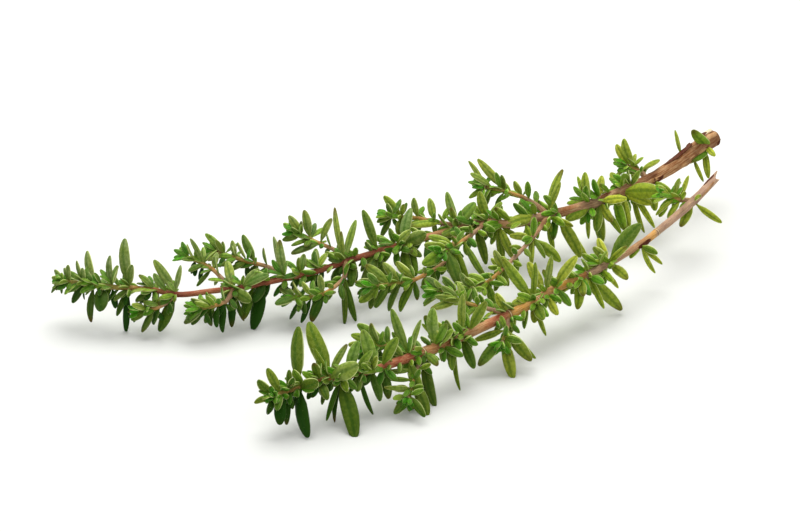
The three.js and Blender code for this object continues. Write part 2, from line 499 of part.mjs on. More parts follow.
// Points along a leaf or a stem, each with the room that it takes
function leafRoom(leaf) {
  return roomShares.map((share) => (
    { point: leafPoint(leaf, share), room: roomOfWidth * leafWidth(leaf, share) }));
}

function stemRoom(stem) {
  const count = Math.ceil(stem.curve.getLength());
  return Array.from({ length: count + 1 }, (_, k) => {
    const share = mix(stem.startShare, 1, k / count);
    return { point: stem.curve.getPoint(share), room: thickAt(stem.thick, share) / 2 };
  });
}

function isClear(spots, others) {
  return spots.every((a) => others.every((b) => (
    a.point.distanceTo(b.point) > a.room + b.room + clearance)));
}

function geometryOf(solid) {
  const { vertProperties, triVerts } = solid.getMesh();
  const geometry = new THREE.BufferGeometry();
  geometry.setAttribute("position", new THREE.BufferAttribute(vertProperties, 3));
  geometry.setIndex(new THREE.BufferAttribute(triVerts, 1));
  return geometry;
}

// A stem and its leaves as one body: cut off at the surface, moved to the origin, and without
// the loose scraps and sealed hollows that crossing blades leave
function wholeSolid(solids) {
  const surface = new THREE.BoxGeometry(surfaceWidth, surfaceWidth, surfaceDepth)
    .translate(0, 0, -surfaceDepth / 2);
  const joined = wasm.Manifold.union(solids).subtract(solidFrom(surface));
  const moved = geometryOf(joined).translate(-centre.x, -centre.y, 0);
  const bodies = solidFrom(moved).simplify(smallestStep).decompose();
  return bodies.reduce((best, body) => (body.volume() > best.volume() ? body : best));
}

function toMesh(name, solid, look) {
  const geometry = geometryOf(solid);
  geometry.computeVertexNormals();
  const mesh = new THREE.Mesh(geometry, new THREE.MeshStandardMaterial(look));
  mesh.name = name;
  return mesh;
}

function prepareMain(stem) {
  const curve = stemCurve(stem.route);
  return { ...stem, curve, startShare: 0, stepsPerPoint: 1, sides: stemSides, tipward: -1 };
}

// A shoot starts just outside its parent stem
function prepareShoot(shoot, index, parent, family) {
  const curve = stemCurve(shoot.route);
  const parentShare = shareAtX(parent.curve, shoot.route[0][0]);
  const parentPoint = parent.curve.getPoint(parentShare);
  const reach = thickAt(parent.thick, parentShare) / 2 + shootThick[0] / 2 + jointGap;
  let startShare = 0;
  while (curve.getPoint(startShare).distanceTo(parentPoint) < reach * obliqueStart) {
    startShare += shareStep;
  }
  return {
    ...shoot, curve, startShare,
    name: `${family}_shoot_${index + 1}`,
    look: shootGreen,
    seed: 100 * (index + 1) + parent.seed,
    thick: shootThick,
    sides: twigSides,
    stepsPerPoint: 2,
    tipward: 1,
  };
}

const rear = prepareMain(rearStem);
const front = prepareMain(frontStem);
const stems = [
  rear,
  front,
  ...rearShoots.map((shoot, index) => prepareShoot(shoot, index, rear, "rear")),
  ...frontShoots.map((shoot, index) => prepareShoot(shoot, index, front, "front")),
];

// Leaves are grown stem by stem, and a leaf that would touch what another stem already holds
// is left out, unless it is one of the listed ones
for (const stem of stems) stem.taken = stemRoom(stem);
for (const stem of stems) {
  const others = stems.filter((other) => other !== stem).flatMap((other) => other.taken);
  const leaves = growLeaves(stem);
  stem.leaves = leaves.filter((leaf) => leaf.listed || isClear(leafRoom(leaf), others));
  stem.taken.push(...stem.leaves.flatMap(leafRoom));
}

const thyme = new THREE.Group();
thyme.name = "thyme_bundle";
for (const stem of stems) {
  const solids = [stemSolid(stem), ...stem.leaves.map(leafSolid)];
  thyme.add(toMesh(stem.name, wholeSolid(solids), stem.look));
}

export default thyme;
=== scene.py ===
# Two cut sprigs of thyme: woody stems, side shoots, leaves, hairs and cut ends
import json
import math
import bmesh
import bpy
import numpy as np
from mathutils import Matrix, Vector, noise

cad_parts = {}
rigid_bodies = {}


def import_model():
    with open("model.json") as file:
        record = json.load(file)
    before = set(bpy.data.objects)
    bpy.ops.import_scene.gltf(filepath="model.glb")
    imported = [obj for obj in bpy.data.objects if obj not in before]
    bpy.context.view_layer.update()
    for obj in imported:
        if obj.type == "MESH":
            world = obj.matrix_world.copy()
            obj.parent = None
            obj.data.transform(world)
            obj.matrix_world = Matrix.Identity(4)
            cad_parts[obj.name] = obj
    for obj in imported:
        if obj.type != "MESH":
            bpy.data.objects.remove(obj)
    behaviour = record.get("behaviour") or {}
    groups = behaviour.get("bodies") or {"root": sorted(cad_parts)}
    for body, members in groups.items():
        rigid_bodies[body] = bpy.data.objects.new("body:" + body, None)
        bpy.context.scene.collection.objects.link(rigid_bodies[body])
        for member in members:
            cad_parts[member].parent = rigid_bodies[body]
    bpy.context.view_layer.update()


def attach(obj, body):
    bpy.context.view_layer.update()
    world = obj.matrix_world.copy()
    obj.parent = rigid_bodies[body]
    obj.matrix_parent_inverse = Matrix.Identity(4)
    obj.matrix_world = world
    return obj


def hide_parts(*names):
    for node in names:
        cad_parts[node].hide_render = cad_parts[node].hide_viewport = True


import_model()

mm = 0.001

# Places are read on a board that leans back 30 degrees: x along it, u up it, n out of it to the
# front. A stem's point is (x, u, z), and a leaf's tip is (x, u, n), all in mm.
board = {
    "lean": math.radians(30),
    "centre": (-3, -22, 0),        # board point at the frame's origin
}
up = np.array([0, math.sin(board["lean"]), math.cos(board["lean"])])
front = np.array([0, -math.cos(board["lean"]), math.sin(board["lean"])])
origin = np.array(board["centre"], float)

# How leaves sit on their stem, as in the solid model. Lengths are in mm and leans in radians.
growth = {
    "slimness": 0.32, "widest": 3.9, "narrowest": 1.2, "bulge": 0.09,
    "pressedFlat": 0.5, "rootDepth": 0.6,
    "widestAt": 1.3, "bluntness": 0.6,
    "faceForward": 0.6, "faceFront": 0.4, "faceUp": 0.5,
    "youngLean": (0.65, 1.15), "youngLength": (0.75, 1.25), "youngJitter": 0.6,
    "rosetteLeaves": 6, "rosetteLean": (0.3, 0.9), "rosetteJitter": 0.4,
    "shootThick": [0.9, 0.8, 0.7], "jointGap": 0.3, "obliqueStart": 1.4, "shareStep": 0.002,
    "clearance": 0.35, "roomShares": (0.3, 0.5, 0.7, 0.9), "roomOfWidth": 0.35,
}


def nodeAt(x, *leaves, young=0, size=3):     # leaf tips, some with a width; young leaves and size
    return {"x": x, "leaves": leaves, "young": young, "size": size}


def sideShoot(size, route, nodes):           # size is the length of the leaves at its tip
    return {"size": size, "route": route, "nodes": nodes}


rearStem = {
    "name": "rear_stem", "seed": 11,
    "thick": (0.9, 1, 1.1, 1.15, 1.2, 1.3, 1.5, 1.8, 2.1, 2.5, 3.4),
    "route": [
        (-78.6, -3.6, 10.4), (-73, -4.1, 10.2), (-66, -4.9, 9.9), (-58, -5.4, 9.5),
        (-51, -6.6, 9.2), (-43, -5.7, 9.2), (-36, -4.9, 9.3), (-28, -3.2, 9.5), (-20, -1.4, 10),
        (-12.6, 1, 10.4), (-4, 3.7, 10.4), (4, 6, 10.3), (15.1, 9.2, 10.2), (19.8, 10.2, 10.2),
        (26, 9.8, 10.2), (34, 11.6, 10.2), (45, 14.6, 10.3), (50.5, 17, 10.8), (57.7, 19.8, 11.6),
        (66, 24.8, 13.2), (73.2, 30.2, 14.8),
    ],
    "nodes": [
        nodeAt(-78.2, (-80.6, -2.6, 0.5), (-80.4, -4, 2), (-79.6, -5.6, 0), young=4),
        nodeAt(-76.4, (-77.7, -0.4, 0), (-76.7, 0.3, 2), young=2),
        nodeAt(-73.2, (-74.8, 1.3, 0.5, 1.3), (-75.8, -8.6, 1), (-73.4, -0.4, 3), young=2,
               size=3.4),
        nodeAt(-70.7, (-72.8, 3.6, -0.5), (-71.7, -13.2, -1, 1.9), young=2, size=3.4),
        nodeAt(-69.2, (-69, -10.5, 4, 4.1), young=1, size=3.4),
        nodeAt(-66.5, (-67.2, 2.5, 0.5, 1.9), (-65.4, 0.2, 2.5), young=3, size=3.4),
        nodeAt(-62.6, (-63.8, 6.5, -1, 3), (-63.6, -15.6, -2, 1.9), (-66.2, -8, 2),
               (-65.6, -11.6, 0, 1.7), (-62, 0.3, 3), young=2, size=3.8),
        nodeAt(-57, (-60.4, -2, 1), (-61.8, -5.8, 3), (-61.2, -8.2, 1.5), young=2, size=3.4),
        nodeAt(-51.8, (-57, 1.6, 0, 2.4), (-50.8, 0.3, -1, 1.6), (-55.8, -15.2, -1.5), young=2,
               size=3.4),
        nodeAt(-38.6, (-34.4, -8.2, 3, 3), (-38.9, -14.2, 1.5, 2.1), (-36.2, -13, -0.5, 1.3),
               (-40.2, 1.4, -3), young=2, size=3.8),
        nodeAt(-36.4, (-32.5, -0.7, 1), (-30.4, -1.8, 2.5)),
        nodeAt(-31.4, (-33.8, -8.4, 3, 3), (-34.1, -14.9, -0.5)),
        nodeAt(-26.6, (-29.3, 6.9, -1, 1.7), (-27.9, 6.2, 0.5, 2.2), (-26, -8.6, -3), young=3,
               size=3.8),
        nodeAt(-23, (-23.4, 2, 1.5, 1.8), young=1, size=3.4),
        nodeAt(-19.2, (-19.6, 4.2, -1), (-16.9, 3.2, 0.5), young=1, size=3.4),
        nodeAt(-12.8, (-15.3, 13.8, -3, 1.6), (-13.7, 8.1, 1, 1.3), (-10.2, 10.8, 0, 1.9),
               (-16.6, 1.5, 2.5), young=2, size=3.8),
        nodeAt(-10.6, (-11.4, -4.6, 4.5)),
        nodeAt(-5, (-8.8, 13.1, 0, 2.6), (-9.6, -0.1, 2.5, 1.3), (-8.9, -4.9, 5, 2.8),
               (-3.6, -4.5, -3), young=2, size=3.8),
        nodeAt(-1, (-2.5, 8.8, 1), (2.4, 8.3, 2.5)),
        nodeAt(0.8, (6, 7.6, 4, 3.5), (5, 2.2, 3), (2.2, -2.8, 4.5), (2.5, 13.5, -3), young=3,
               size=3.8),
        nodeAt(13.4, (10.8, 17.4, -1, 2.1), (11.7, 13.6, 1.5), (17.4, 15, -0.5, 3),
               (9.8, 7, 3.5, 3), young=1, size=3.8),
        nodeAt(17.6, (14.4, 5, 1.5), (20, 0.3, 1.5, 2.4), young=1, size=3.4),
        nodeAt(20.4, (18.4, 17.4, 1), (23.6, 15, 1), (21.2, 6.6, 4), young=3, size=3.8),
        nodeAt(23.2, (23.8, 0.8, 1, 2.2), (26, 1.8, 3, 2.2), (28.8, 5.9, 0, 1.4)),
        nodeAt(31.6, (24.6, 9.6, 3.5, 3)),
        nodeAt(34.6, (37.7, 22.8, -0.5, 2.1), (37.2, 19.6, 1.5, 1.7), (35.8, 4, -1, 1.6),
               (40.3, 9.2, 3, 1.6), young=1, size=3.6),
        nodeAt(36.6, (42, 1.9, 2, 3), (43.7, 1.2, -1.5, 2.2)),
        nodeAt(44, (43, 21.9, 0), (41.3, 20.9, -2, 1.3), (38.6, 10.8, 3.5, 3.2),
               (43.9, 6.3, -2, 1.3), young=2, size=3.8),
        nodeAt(46.4, (47, 21.1, -1, 2.3), (52.7, 15.8, 4), (49.3, 10.3, 4, 2.4), (46.9, 5.2, -5),
               (51.4, 7.4, 2, 1.7), (45.6, 8, 4), young=3, size=4),
        nodeAt(51.8, (60.5, 17.3, 5, 4.3), (58.6, 14.4, 3.5), (53.2, 8.8, 3.5, 2.4),
               (49, 22, -3, 2.2), young=1, size=3.6),
        nodeAt(53.8, (52.9, 22.3, 2.5), (55.6, 22.2, 3.5), (56.9, 7.6, 1.5, 1.4),
               (59.3, 8.8, 4, 1.6), young=1, size=3.6),
        nodeAt(58.6, (63.4, 16.8, 2), (59.4, 12.6, -2), young=1, size=3.4),
        nodeAt(66.2, (64.1, 31.8, -0.5, 1.1)),
        nodeAt(67.8, (70.8, 19.6, 2, 1.1)),
        nodeAt(70.6, (68.4, 31, 3, 1.7), (73.5, 25.6, 3.5), (67.6, 24, 3, 1.5), (72, 20.4, 3, 1.8)),
    ],
}
frontStem = {
    "name": "front_stem", "seed": 23,
    "thick": (0.9, 1.2, 1.9, 1.7, 1.5, 2.1),
    "route": [
        (-29.2, -30, 9), (-23, -27.7, 9), (-17, -26, 9.2), (-10, -24.8, 9.4), (-4.5, -23.4, 9.6),
        (0, -21.8, 9.8), (5.3, -19.9, 10), (14, -16.2, 10), (25, -11.3, 10), (30.5, -8.6, 10.1),
        (36, -5.2, 10.2), (42.8, -2.3, 10.3), (48, 0.4, 10.4), (56, 5.2, 11), (62, 9.8, 11.8),
        (68, 14.9, 12.8), (73.6, 20.6, 14),
    ],
    "nodes": [
        nodeAt(-29, (-32.7, -26.2, 1.5, 2.4), (-33.5, -31.4, 0), (-31.6, -30.6, 3.5),
               (-30.2, -33.8, 2), young=3, size=3.6),
        nodeAt(-27.4, (-30.5, -23.4, 0), (-27.6, -36.5, 2, 3), (-28.2, -33, 4.5), young=1,
               size=3.6),
        nodeAt(-25.4, (-26.3, -36.7, -1, 1.9), (-25.4, -23.8, 0.5), (-24.4, -25.6, 3.5), young=1,
               size=3.4),
        nodeAt(-23, (-23.3, -13.8, -0.5), (-21.3, -39.5, 3.4), (-18.8, -26.4, 6.5, 3.2), young=2,
               size=3.8),
        nodeAt(-18.4, (-19.8, -22.2, 3, 2.4), (-16.6, -30.6, 4.5), young=1, size=3.6),
        nodeAt(-16, (-21, -12.4, -2), (-9.6, -22.6, 5.5, 4.3), (-19.8, -18.8, 0.5, 1.6),
               (-12.2, -17.8, -1.5, 1.9), (-18, -31.9, 1, 1.4), young=1, size=3.8),
        nodeAt(-13.6, (-10.4, -40, 6.2), (-17, -35.6, 2.5, 1.4), (-15, -36, 0, 1.3),
               (-12, -28.8, 5), young=1, size=3.6),
        nodeAt(-9.4, (-9.8, -28.8, 3.5, 2.2), (-6.2, -34.3, 0, 1.3), young=1, size=3.4),
        nodeAt(-6.4, (-4.5, -31.1, 3), (-8.8, -22.6, 4), (-5.4, -20.8, 4.5), young=3, size=3.8),
        nodeAt(-4, (-0.5, -16.4, 3, 3)),
        nodeAt(2.2, (-2, -9.8, -0.5, 2.5), (4.8, -12.3, 2, 1.5)),
        nodeAt(5.3, (8, -32.5, 1.6, 2.9), (8.7, -22.8, 3.5, 2.2), (3.4, -17, -3), young=2,
               size=3.4),
        nodeAt(9.6, (5, -13.3, 1, 1.3), (8.2, -14.8, 3.5, 2.4), (9.6, -22, -2), young=1, size=3.4),
        nodeAt(12.4, (7.4, -12.8, 2, 2.4), (12, -24, 5, 2.2), (13.7, -28.8, 1.5, 1.3),
               (10.6, -12.6, 5), young=3, size=3.8),
        nodeAt(14.3, (14.5, -6.4, 2, 2.1), (17, -23.7, 2)),
        nodeAt(16, (19.9, -8.1, 3)),
        nodeAt(25, (22.1, -6.2, 1, 2.4), young=1, size=3.4),
        nodeAt(30.9, (23.6, 1.8, 2.5, 2.8), (25.9, -8.6, 3.5, 2.4), (33, -12.3, 5, 2.6),
               (31.2, 0.9, 2, 1.7), (31, -13.2, 1, 2.2), (33.7, -16.2, 1.5, 1.3), young=2,
               size=3.8),
        nodeAt(33.8, (35, 2.5, 1, 1.8), (36.4, -11.3, 3.5), (29.5, 1, -2), young=2, size=3.6),
        nodeAt(35.8, (40.9, 2.4, 3), (37.1, -8.8, -1)),
        nodeAt(41.6, (36.6, -6.4, 2.5, 1.3), (40.9, -9.9, 4), (42.4, -6.8, 5), young=1, size=3.6),
        nodeAt(43.6, (51.5, -10.4, -4.5, 3.1), (47.2, -9.9, 3.5, 1.7), (47.4, -3.2, -2), young=2,
               size=3.6),
        nodeAt(46.6, (50.6, -5.2, 1, 1.3)),
        nodeAt(48.4, (55.8, 9.8, 1.5), (43, 0.4, 2.5), (52.7, -3, 3.5, 2.5), (44.7, 4.4, 1.5, 2.2),
               (45.8, 6.5, -1), (52.5, 4.6, 4.5, 1.7), young=2, size=3.8),
        nodeAt(55.6, (53.3, 1.9, 2.5), (59.7, 2.8, 2.5), (60.9, 0.3, 0, 1.3),
               (59.2, -1.7, 1.5, 1.3)),
        nodeAt(68.2, (69.9, 16.4, 3), (65.1, 9.1, 1.5), (74.9, 9.8, 0, 1.8), (66.2, 10.8, -2)),
    ],
}
# Side shoots, each routed from the stem that carries it to its own tip
rearShoots = [
    sideShoot(3.8, [(-38.6, -5.2, 9.2), (-41, -3, 10.2), (-44.2, -0.2, 11.2), (-49, 2, 12)], [
        nodeAt(-43.4, (-47.1, -4.7, 1.5, 1.3), (-42.4, 3.2, -1.5)),
        nodeAt(-45.4, (-48.6, 6.4, -0.5, 1.3), (-49, -1.1, 2), (-43.6, 3.4, 1.5), young=1),
        nodeAt(-47.4, (-49.5, 5, 2), (-48.4, -1.8, -2), young=1),
    ]),
    sideShoot(4, [(-26.6, -2.8, 9.6), (-30, -0.4, 10.6), (-36, 1.2, 11.6), (-42.6, 3.4, 12.4)], [
        nodeAt(-33.4, (-36.6, 7.3, -0.5), (-35, -3.2, -3)),
        nodeAt(-35.4, (-37.6, 5.5, 1.5), (-39.7, -1.2, 1)),
        nodeAt(-38, (-39, 6, -1), (-41.4, 0, 2), young=1),
        nodeAt(-40.6, (-45.2, 7.7, -1, 1.8), (-44.6, 1.2, 1.5), (-42.8, 6, 2), young=1),
    ]),
    sideShoot(3.8, [(-38.6, -5.2, 9.2), (-40, -8, 8.2), (-42.8, -9.2, 7.6), (-46.4, -10, 7.2)], [
        nodeAt(-40.4, (-41.1, -15.5, 0, 1.7)),
        nodeAt(-42, (-42.5, -14.2, 2), (-44.4, -6.4, -2)),
        nodeAt(-43.8, (-43.6, -13.9, -1.5), (-48.4, -7.6, 0.5), (-47.4, -8.4, 3), young=1),
        nodeAt(-45.4, (-50, -13.2, 1.5), (-48.2, -13.6, -1), young=1),
    ]),
    sideShoot(3, [(-51.8, -6.5, 9.2), (-54.2, -8.6, 7.8), (-57, -9.9, 6.4), (-60, -10.4, 5.8)], [
        nodeAt(-56.8, (-59.9, -15.3, 0.5)),
        nodeAt(-58.6, (-62, -8.8, 2), (-62.2, -12.5, 0.5, 1.9), (-58.8, -7, -2), young=1),
    ]),
    sideShoot(3.4, [(-12.6, 1, 10.4), (-15, 3.6, 12), (-19, 5.4, 13), (-24, 7.8, 14.2)], [
        nodeAt(-18.4, (-16.1, 11.2, 2), (-25.3, 2.9, 2)),
        nodeAt(-20.8, (-22.5, 13.1, -0.5), (-25.2, 4.7, 3, 1.3), (-19.6, 10, -2.5), young=1),
        nodeAt(-22.8, (-25.8, 11.7, 0.5), (-27.4, 6.1, 0), (-22.9, 10.4, 2.5), young=1),
    ]),
    sideShoot(3.4, [(-12.6, 1, 10.4), (-12.9, -2.4, 9.2), (-15.5, -5.1, 8.2), (-19, -6.9, 7.4),
                    (-24.6, -7.4, 6.8)], [
        nodeAt(-12.95, (-13, -13.9, 1, 1.5), (-10.2, -12.9, 0, 1.9)),
        nodeAt(-17.8, (-20.6, -12.9, 1.5), (-18.6, -2, 2)),
        nodeAt(-20.4, (-22.9, -13.2, 0, 1.5), (-22.6, -3.6, 1)),
        nodeAt(-22.6, (-25.6, -12.4, -1, 1.3), (-24.8, -3.6, 1.5), (-22, -11, 2.5), young=1),
        nodeAt(-24.2, (-28.9, -8.8, 2.5, 2.6), (-27.9, -5.2, 0.5), young=1),
    ]),
    sideShoot(3, [(14.4, 9.1, 10.2), (8.4, 10.2, 11.4), (4, 11.1, 12.2), (-2.6, 11.6, 13)], [
        nodeAt(9.6, (1.8, 9.4, 3)),
        nodeAt(7.8, (6.8, 15.8, -0.5)),
        nodeAt(4, (3.2, 15.9, 0), (1.4, 7.6, 2)),
        nodeAt(0.4, (-3.8, 16.3, -0.5), (-0.4, 7.3, 2.5, 2.4), (1, 14.4, 2), young=1),
        nodeAt(-1.8, (-4.6, 6.8, 1), (-5.4, 10.2, 2), (-3, 14.6, 1.5), young=1),
    ]),
    sideShoot(3, [(34.6, 11.7, 10.2), (30.6, 15, 12.4), (26, 16.9, 14), (19.6, 18.5, 15.8)], [
        nodeAt(28.4, (26.5, 19.8, -0.5, 1.9), (28, 12.6, 1)),
        nodeAt(24.4, (18, 25, -1, 2.2), (22.2, 13.6, 1.5), (23.6, 21.2, 1)),
        nodeAt(21.2, (16.4, 21.7, 1.5), (20, 14, -1), young=1),
        nodeAt(19.8, (15.9, 24.5, -1, 1.3), (16, 15.8, 0.5), young=1),
    ]),
    sideShoot(2.4, [(57.7, 19.8, 11.6), (56.4, 21.6, 12.8), (54.6, 22.7, 13.6),
                    (52.8, 23.4, 14.2)], [
        nodeAt(56, (60.6, 24.8, -0.5)),
        nodeAt(54.2, (52, 29.7, 1.5), (54.9, 26.3, -1.5)),
        nodeAt(53, (50.4, 28.4, -0.5), (49.2, 19.4, 1)),
    ]),
    sideShoot(3.6, [(19.8, 10.2, 10.2), (17, 7.6, 11.8), (13.4, 5.2, 12.8), (10, 3.4, 13.4)], [
        nodeAt(14.6, (20, -2.9, 2.5, 1.8)),
        nodeAt(12.6, (15.8, -3.7, 1, 2.4), (6.6, 6.9, -0.5)),
        nodeAt(10.9, (5.2, 0.3, 3, 3.2), (5.6, 5, 1.5, 2.4), (13.6, -4.4, 3.5), young=1, size=3.6),
    ]),
    sideShoot(4.2, [(34.6, 11.7, 10.2), (31, 6.8, 9.4), (26.4, 1.8, 9), (23.6, -0.9, 8.8),
                    (20.4, -3.6, 8.6), (16, -5.6, 8.6), (8.6, -6, 8.6)], [
        nodeAt(30.8, (25.4, 7, 0), (33.7, 1.8, 2.5, 1.3), (37.3, 1, 0), (30.6, 0.2, 3, 1.4)),
        nodeAt(23.8, (21.8, 3.7, 1.5), (21, 1.8, -1), (25.1, -4.7, 1)),
        nodeAt(20.2, (15.8, -2, -1.5), (21.8, -9.6, 0)),
        nodeAt(16.4, (14, -1.6, 0.5), (15.2, -9.8, -1), young=1, size=3.4),
        nodeAt(13, (9.8, -2.4, 1.5), (9, -10, 0), young=1, size=3.6),
        nodeAt(10, (5.3, -9.1, 1), (6, -2.6, 0.5), young=2, size=3.6),
    ]),
    sideShoot(4.2, [(13.4, 8.6, 10.2), (12.2, 4.4, 9.2), (10.4, 0.9, 8.8), (4, -2.9, 8.4),
                    (-0.4, -3.9, 8.2), (-6.4, -4.7, 8.2)], [
        nodeAt(8, (7, -7, -1)),
        nodeAt(3.4, (-0.2, -10.6, 1, 2.1), (-1, 1, 0.5)),
        nodeAt(0, (-2.8, -10.4, 2, 1.8), (-4, 0.8, -1)),
        nodeAt(-2.6, (-5.8, -9.7, 1.5), (-8, 0.4, 0.5), young=1, size=3.6),
        nodeAt(-5, (-9.7, -3.4, 0.5), (-7.2, -10, -1), (-9.5, -8.4, 1.5, 2.5), young=2, size=3.6),
    ]),
]
frontShoots = [
    sideShoot(3.8, [(5.3, -19.9, 10), (2, -18.6, 11), (-2, -18.3, 11.6), (-7, -18.7, 12)], [
        nodeAt(-2.8, (-10, -13.4, -1), (-3, -13.8, -2)),
        nodeAt(-4.8, (-6.8, -13.1, 1), (-11.3, -15.8, 1), (-9, -23, 1.5), young=1, size=3.4),
        nodeAt(-6.2, (-12, -18, -0.5), (-8, -15.6, 3), young=2, size=3.4),
    ]),
    sideShoot(3, [(5.3, -19.9, 10), (4.2, -23, 8.2), (3.1, -26.6, 6.2), (1.9, -30.4, 4.2)], [
        nodeAt(3.9, (-4, -24.2, 0.5, 1.3)),
        nodeAt(3.2, (-3.2, -25.9, 2, 1.3), (6.3, -34.9, 1.5)),
        nodeAt(2.6, (-1.7, -28.2, -1, 1.9), (-3.7, -27.9, 3, 1.3), (5.8, -30.4, -1)),
        nodeAt(2.1, (-1.3, -34, 1.5, 2.2), (5.6, -34.7, 3.5)),
    ]),
    sideShoot(3.6, [(25, -11.3, 10), (24.8, -13.4, 9), (24.3, -15.6, 8), (23.6, -17.6, 7)], [
        nodeAt(24.5, (17, -17.2, 0.5, 1.9), (30.3, -21.9, 3), (31.4, -21.4, -0.5, 1.6)),
        nodeAt(24, (18, -23, 2), (28.1, -17.5, 3.5), (26.1, -26.5, 0.5), young=1),
    ]),
    sideShoot(3.4, [(25, -11.3, 10), (20.8, -10, 10.8), (17, -9, 11.2), (12.6, -7.8, 11.6)], [
        nodeAt(18, (16.4, -4.6, -1), (15, -11.8, 2)),
        nodeAt(15.2, (8, -6.9, 1.5, 1.9), (13.4, -3.8, 0)),
        nodeAt(13.6, (7, -9.9, 2), (9.6, -4.6, 0), young=1, size=3.4),
    ]),
    sideShoot(2.4, [(68.2, 15.1, 12.8), (66, 15.3, 13.4), (64, 15.7, 13.8), (61.8, 16.5, 14.2)], [
        nodeAt(65.4, (67.1, 21.1, -0.5, 1.4), (62, 11.2, 1)),
        nodeAt(63.9, (64.9, 20.5, 0.5), (59.4, 11.9, 2, 1.3)),
        nodeAt(62.6, (60.2, 18.6, 1, 1.6), (58.8, 14.8, 2)),
    ]),
]


# The source of random numbers, and how closely a stem's route is read
draws = {"times": 1664525, "plus": 1013904223, "range": 2 ** 32, "shootSeed": 100, "fineSeed": 5000}
reading = {"tangentReach": 0.0001, "lastShare": 0.9999, "halvings": 30, "roomSteps": 200}


def seededDraw(seed):    # a small repeatable source of numbers from 0 to 1
    state = seed

    def draw():
        nonlocal state
        state = (state * draws["times"] + draws["plus"]) % draws["range"]
        return state / draws["range"]
    return draw


def mix(low, high, share):
    return low + (high - low) * share


def clamped(value, low=0, high=1):
    return min(max(value, low), high)


def unit(vector):
    return vector / np.linalg.norm(vector)


def pathLength(points):
    return sum(np.linalg.norm(b - a) for a, b in zip(points, points[1:]))


def boardPoint(place):
    x, u, z = place
    return np.array([x, (u - z * up[2]) / up[1], z])


def curvePoint(points, share):    # a smooth curve through the points, evenly shared among them
    last = len(points) - 1
    place = clamped(share) * last
    step = min(int(place), last - 1)
    t = place - step
    a, b = points[step], points[step + 1]
    before = points[step - 1] if step > 0 else 2 * a - b
    after = points[step + 2] if step + 2 <= last else 2 * b - a
    pullA, pullB = (b - before) / 2, (after - a) / 2
    return (a + pullA * t + (3 * (b - a) - 2 * pullA - pullB) * t ** 2
            + (2 * (a - b) + pullA + pullB) * t ** 3)


def curveTangent(points, share):
    reach = reading["tangentReach"]
    low, high = clamped(share - reach), clamped(share + reach)
    return unit(curvePoint(points, high) - curvePoint(points, low))


def thickAt(thick, share):
    place = min(share, reading["lastShare"]) * (len(thick) - 1)
    step = int(place)
    return mix(thick[step], thick[step + 1], place - step)


def shareAtX(points, x):
    rising = points[-1][0] > points[0][0]
    low, high = 0, 1
    for _ in range(reading["halvings"]):
        middle = (low + high) / 2
        if (curvePoint(points, middle)[0] < x) == rising:
            low = middle
        else:
            high = middle
    return low


def frameAt(stem, share):    # directions and radius of a stem at a share of its route
    forward = curveTangent(stem["points"], share)
    side = unit(np.cross(forward, (0, 0, 1)))
    return {"point": curvePoint(stem["points"], share), "forward": forward, "side": side,
            "tipward": forward * stem["tipward"], "top": np.cross(side, forward),
            "radius": thickAt(stem["thick"], share) / 2}


def awayAt(place, roll):     # straight out of the stem, at an angle round it
    return place["side"] * math.cos(roll) + place["top"] * math.sin(roll)


def makeLeaf(kind, root, tip, tipward, draw):
    tip = tip.copy()
    tip[2] = max(tip[2], -growth["pressedFlat"])
    length = np.linalg.norm(tip - root)
    along = (tip - root) / length
    face = np.array([draw() - 0.5, draw() - 0.5, draw() - 0.5])
    face = face + tipward * growth["faceForward"] + front * growth["faceFront"]
    face[2] += growth["faceUp"]
    face = unit(face - along * face.dot(along))
    bend = (root + tip) / 2 + face * 2 * growth["bulge"] * length
    width = clamped(growth["slimness"] * length, growth["narrowest"], growth["widest"])
    return {"kind": kind, "root": root, "bend": bend, "tip": tip, "face": face, "width": width,
            "length": length, "measured": False}


def leafAround(kind, place, roll, lean, length, draw):     # a leaf that leans out from the stem
    away = awayAt(place, roll)
    root = place["point"] + away * growth["rootDepth"] * place["radius"]
    tip = root + place["tipward"] * math.cos(lean) * length + away * math.sin(lean) * length
    return makeLeaf(kind, root, tip, place["tipward"], draw)


def leafTo(kind, place, target, draw, degrees=None):       # a leaf with its tip at a board place
    point, tipward = place["point"], place["tipward"]
    x, u, n = target
    reach = np.array([x - point[0], 0, 0]) + up * (u - point.dot(up)) + front * n
    if degrees is None:
        away = unit(reach - tipward * reach.dot(tipward)) * growth["rootDepth"]
    else:
        away = awayAt(place, math.radians(degrees))
    return makeLeaf(kind, point + away * place["radius"], point + reach, tipward, draw)


def growLeaves(stem):
    draw = seededDraw(stem["seed"])
    leaves = []
    for node in stem["nodes"]:
        place = frameAt(stem, shareAtX(stem["points"], node["x"]))
        for x, u, n, *width in node["leaves"]:
            leaf = leafTo("listed", place, (x, u, n), draw)
            if width:
                leaf.update(width=width[0], measured=True)
            leaves.append(leaf)
        for k in range(node["young"]):
            roll = (k + growth["youngJitter"] * draw()) / node["young"] * 2 * math.pi
            lean = mix(*growth["youngLean"], draw())
            length = (node["size"] * mix(*growth["youngLength"], draw())
                      + (1 - growth["rootDepth"]) * place["radius"])
            leaves.append(leafAround("young", place, roll, lean, length, draw))
    if stem["isMain"]:
        return leaves
    end = frameAt(stem, 1)
    end["radius"] = stem["thick"][-1] / 2
    for k in range(growth["rosetteLeaves"]):
        roll = (k + growth["rosetteJitter"] * draw()) * 2 * math.pi / growth["rosetteLeaves"]
        lean = mix(*growth["rosetteLean"], draw())
        leaves.append(leafAround("rosette", end, roll, lean, stem["size"], draw))
    return leaves


def leafPoint(leaf, share):
    back = 1 - share
    return leaf["root"] * back ** 2 + leaf["bend"] * 2 * back * share + leaf["tip"] * share ** 2


